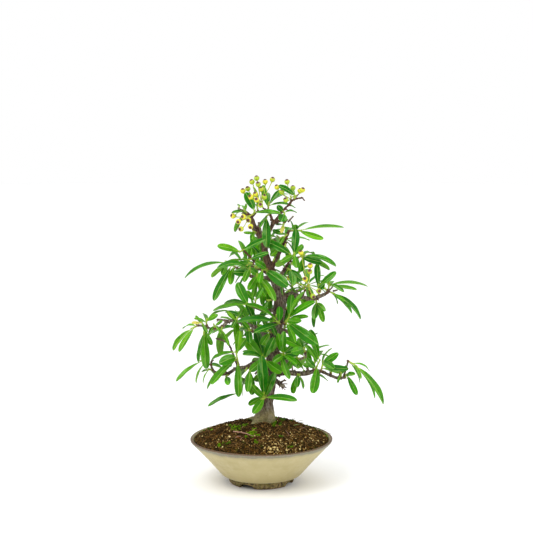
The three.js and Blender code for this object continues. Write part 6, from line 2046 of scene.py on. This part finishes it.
# Rows along a berry's axis and across it, over its radius, from the stalk to the calyx's floor.
BERRY_ROWS = np.array([[-1, 0.04], [-0.98, 0.14], [-0.93, 0.3], [-0.83, 0.52], [-0.66, 0.73],
                       [-0.42, 0.9], [-0.15, 0.985], [0.12, 1], [0.36, 0.95], [0.58, 0.83],
                       [0.75, 0.68], [0.86, 0.54], [0.91, 0.46], [0.9, 0.4], [0.8, 0.33],
                       [0.7, 0.24], [0.67, 0.12], [0.68, 0.03]])
CALYX_ROW = 12
CALYX_LOBES = 5
LOBE_ROWS = [(0.84, 0.5, 0.26), (0.95, 0.43, 0.22), (1.04, 0.32, 0.13)]
LOBE_TIP = 1.08
BERRY_STALK = 0.48
STALK_CUP = (0.5, 0.56, 0.72)
BUNCH_LIFT = {"berries_crown": 1.1, "berries_crown_right": 1.4}
RIPENESS = {"berries_crown": 0.75, "berries_crown_right": 0.6}


class BONSAI_OT_make_berries(bpy.types.Operator):
    """Hangs the unripe berries on their stalks, each with a dry five-lobed calyx"""

    bl_idname = "bonsai.make_berries"
    bl_label = "Make Berries"

    def execute(self, context):
        look = context.scene.bonsai.berries
        finishes = [berry_finish(look), calyx_finish(look), stalk_finish(look)]
        for number, (bunch, row) in enumerate(zip(PLANT.bunches, BUNCHES)):
            rng = np.random.default_rng(SEED * (number + 9))
            skin = Skin("berry")
            path = bent(bunch.root, bunch.end, rng.normal(size=3) * 0.5, 8)
            skin.add_tube(path, np.linspace(0.95, 0.75, 8), 10, 2, berry=(0, 0, 0.5))
            for centre, axis, knot in zip(bunch.centres, bunch.axes, bunch.knots):
                axis = unit(axis + (0, 0, BUNCH_LIFT.get(row[0], 0) * rng.uniform(0.3, 1)))
                seat = centre - axis * BERRY_DIAMETER / 2
                add_berry(skin, rng, look.sides, centre, axis, RIPENESS.get(row[0], 1))
                reach = np.linalg.norm(seat - knot)
                path = bent(knot, seat + axis * 0.3, (0, 0, -0.06 * reach), 12)
                radii = np.full(12, BERRY_STALK)
                radii[-3:] = STALK_CUP
                skin.add_tube(path, radii, 8, 2, berry=(0, 0, 0.5))
            skin.piece(row[0].replace("berries", "fruit"), "berries", finishes, [row[0]])
        return {"FINISHED"}


def add_berry(skin, rng, sides, centre, axis, ripeness):
    """A round berry with a calyx of five lobes, bent in over the crown's dimple."""
    radius = BERRY_DIAMETER / 2
    across = any_square(axis)
    beside = np.cross(axis, across)
    tone = rng.random() * ripeness
    turn = full_turn(sides) + rng.random()
    around = np.cos(turn)[:, None] * across + np.sin(turn)[:, None] * beside
    ribs = 1 + 0.025 * np.sin(turn * CALYX_LOBES)
    along, out = BERRY_ROWS[:, 0], BERRY_ROWS[:, 1]
    points = centre + radius * (along[:, None, None] * axis
                                + (out[:, None] * ribs)[:, :, None] * around)
    count = len(BERRY_ROWS)
    kinds = [0 if i < CALYX_ROW else 1 for i in range(count - 1) for _ in range(sides)]
    marks = np.stack([np.repeat(along, sides), np.repeat(out, sides),
                      np.full(count * sides, tone)], axis=1)
    skin.add(points.reshape(-1, 3), tube_faces(count, sides), kinds + [0, 1], berry=marks)
    for lobe in range(CALYX_LOBES):
        angle = turn[0] + (lobe + 0.5) / CALYX_LOBES * 2 * pi + rng.normal() * 0.08
        way = cos(angle) * across + sin(angle) * beside
        flank = np.cross(axis, way)
        lean = rng.uniform(0.12, 0.3)
        rings = []
        for rise, reach, wide in LOBE_ROWS + [(LOBE_TIP, lean, 0.02)]:
            middle = centre + radius * (axis * rise + way * reach)
            lift = (axis * 0.4 + way) * 0.09
            rings += [middle + flank * wide * radius - lift * 0.4, middle + lift,
                      middle - flank * wide * radius - lift * 0.4, middle - lift]
        mark = np.stack([np.repeat([0.9, 0.98, 1.06, 1.15], 4), np.full(16, 0.5),
                         np.full(16, tone)], axis=1)
        skin.add(np.array(rings), tube_faces(4, 4), 1, berry=mark)


# Stage, in metres round the pot's axis

AIM = (0, 0, 0.16)
KEY_PLACE = (-0.7, -0.85, 1.1)
KEY_SIZE = 0.9
FILL_PLACE = (0.95, -0.5, 0.5)
FILL_SIZE = 0.7
FLOOR_SIDES = 96
FLOOR_SHADE = (244, 244, 243)


class BONSAI_OT_make_stage(bpy.types.Operator):
    """Sets the pale floor, the soft light and the camera at the photograph's angle"""

    bl_idname = "bonsai.make_stage"
    bl_label = "Make Stage"

    def execute(self, context):
        look = context.scene.bonsai.stage
        set_camera(context)
        lay_floor(look)
        set_light(context, look)
        return {"FINISHED"}


def set_camera(context):
    data = bpy.data.cameras.new("viewer")
    data.sensor_width = SENSOR_WIDTH
    data.lens = FOCAL_PIXELS / PHOTO_SIDE * SENSOR_WIDTH
    viewer = bpy.data.objects.new("viewer", data)
    viewer.location = Vector((EYE + AXIS) * MM)
    viewer.rotation_euler = (pi / 2 - EYE_PITCH, 0, 0)
    context.scene.collection.objects.link(viewer)
    context.scene.camera = viewer


def lay_floor(look):
    """A wide flat disc, a little uneven in its tone."""
    turn = full_turn(FLOOR_SIDES)
    mesh = bpy.data.meshes.new("floor")
    rim = np.stack([np.cos(turn), np.sin(turn), turn * 0], axis=1) * look.floor_reach
    mesh.from_pydata(rim.tolist(), [], [list(range(FLOOR_SIDES))])
    made = Finish("pale_floor", Specular_IOR_Level=0.2)
    made.colour = made.mix(look.floor_colour, srgb(*FLOOR_SHADE), made.noise(300, 2))
    mesh.materials.append(made.done(0.7))
    floor = bpy.data.objects.new("floor", mesh)
    bpy.context.scene.collection.objects.link(floor)


def set_light(context, look):
    scene = context.scene
    world = bpy.data.worlds.new("soft_white")
    world.use_nodes = True
    nodes, links = world.node_tree.nodes, world.node_tree.links
    sky, spot = nodes["Background"], nodes.new("ShaderNodeTexCoord")
    sky.inputs["Color"].default_value = (1, 1, 1, 1)
    parts = nodes.new("ShaderNodeSeparateXYZ")
    dome = nodes.new("ShaderNodeMapRange")
    for socket, value in (("From Min", -0.1), ("From Max", 1), ("To Min", look.sky * 0.4),
                          ("To Max", look.sky * 1.6)):
        dome.inputs[socket].default_value = value
    seen = nodes.new("ShaderNodeLightPath")
    pick = nodes.new("ShaderNodeMix")
    pick.inputs["B"].default_value = 1
    for source, output, node, socket in (
            (spot, "Generated", parts, "Vector"), (parts, "Z", dome, "Value"),
            (seen, "Is Camera Ray", pick, "Factor"), (dome, "Result", pick, "A"),
            (pick, "Result", sky, "Strength")):
        links.new(source.outputs[output], node.inputs[socket])
    scene.world = world
    scene.view_settings.view_transform = "Standard"
    target = Vector(AXIS * MM) + Vector(AIM)
    lamps = (("key", look.key, KEY_SIZE, KEY_PLACE), ("fill", look.fill, FILL_SIZE, FILL_PLACE))
    for name, power, size, offset in lamps:
        data = bpy.data.lights.new(name, "AREA")
        data.shape, data.size, data.energy = "DISK", size, power
        lamp = bpy.data.objects.new(name, data)
        lamp.location = target + Vector(offset)
        lamp.rotation_euler = (-Vector(offset)).to_track_quat("-Z", "Y").to_euler()
        scene.collection.objects.link(lamp)


# Panel


class BONSAI_PT_panel(bpy.types.Panel):
    """Lists the steps of the bonsai and what can be changed on it"""

    bl_idname = "BONSAI_PT_panel"
    bl_label = "Firethorn Bonsai"
    bl_space_type = "VIEW_3D"
    bl_region_type = "UI"
    bl_category = "Bonsai"

    def draw(self, context):
        settings = context.scene.bonsai
        for name, steps in STEPS:
            box = self.layout.box()
            group = getattr(settings, name)
            for setting in group.bl_rna.properties:
                if setting.identifier not in ("rna_type", "name"):
                    box.prop(group, setting.identifier)
            for step in steps:
                box.operator("bonsai." + step)


# The steps of the work, in their order, under the settings that each goes by.
STEPS = (("stage", ("make_stage",)), ("pot", ("make_pot",)),
         ("soil", ("make_soil", "make_moss", "make_litter")), ("wood", ("make_wood",)),
         ("leaves", ("make_leaves",)), ("berries", ("make_berries",)))
CLASSES = (
    PotSettings, SoilSettings, WoodSettings, LeafSettings, BerrySettings, StageSettings,
    BonsaiSettings, BONSAI_OT_make_stage, BONSAI_OT_make_pot, BONSAI_OT_make_soil,
    BONSAI_OT_make_moss, BONSAI_OT_make_litter, BONSAI_OT_make_wood, BONSAI_OT_make_leaves,
    BONSAI_OT_make_berries, BONSAI_PT_panel,
)

PLANT = Plant()


def register():
    for kind in CLASSES:
        bpy.utils.register_class(kind)
    bpy.types.Scene.bonsai = PointerProperty(type=BonsaiSettings)


def unregister():
    del bpy.types.Scene.bonsai
    for kind in reversed(CLASSES):
        bpy.utils.unregister_class(kind)


def main():
    """Registers the add-on and makes the stage and every piece."""
    register()
    for _, steps in STEPS:
        for step in steps:
            getattr(bpy.ops.bonsai, step)()


if __name__ == "__main__":
    main()
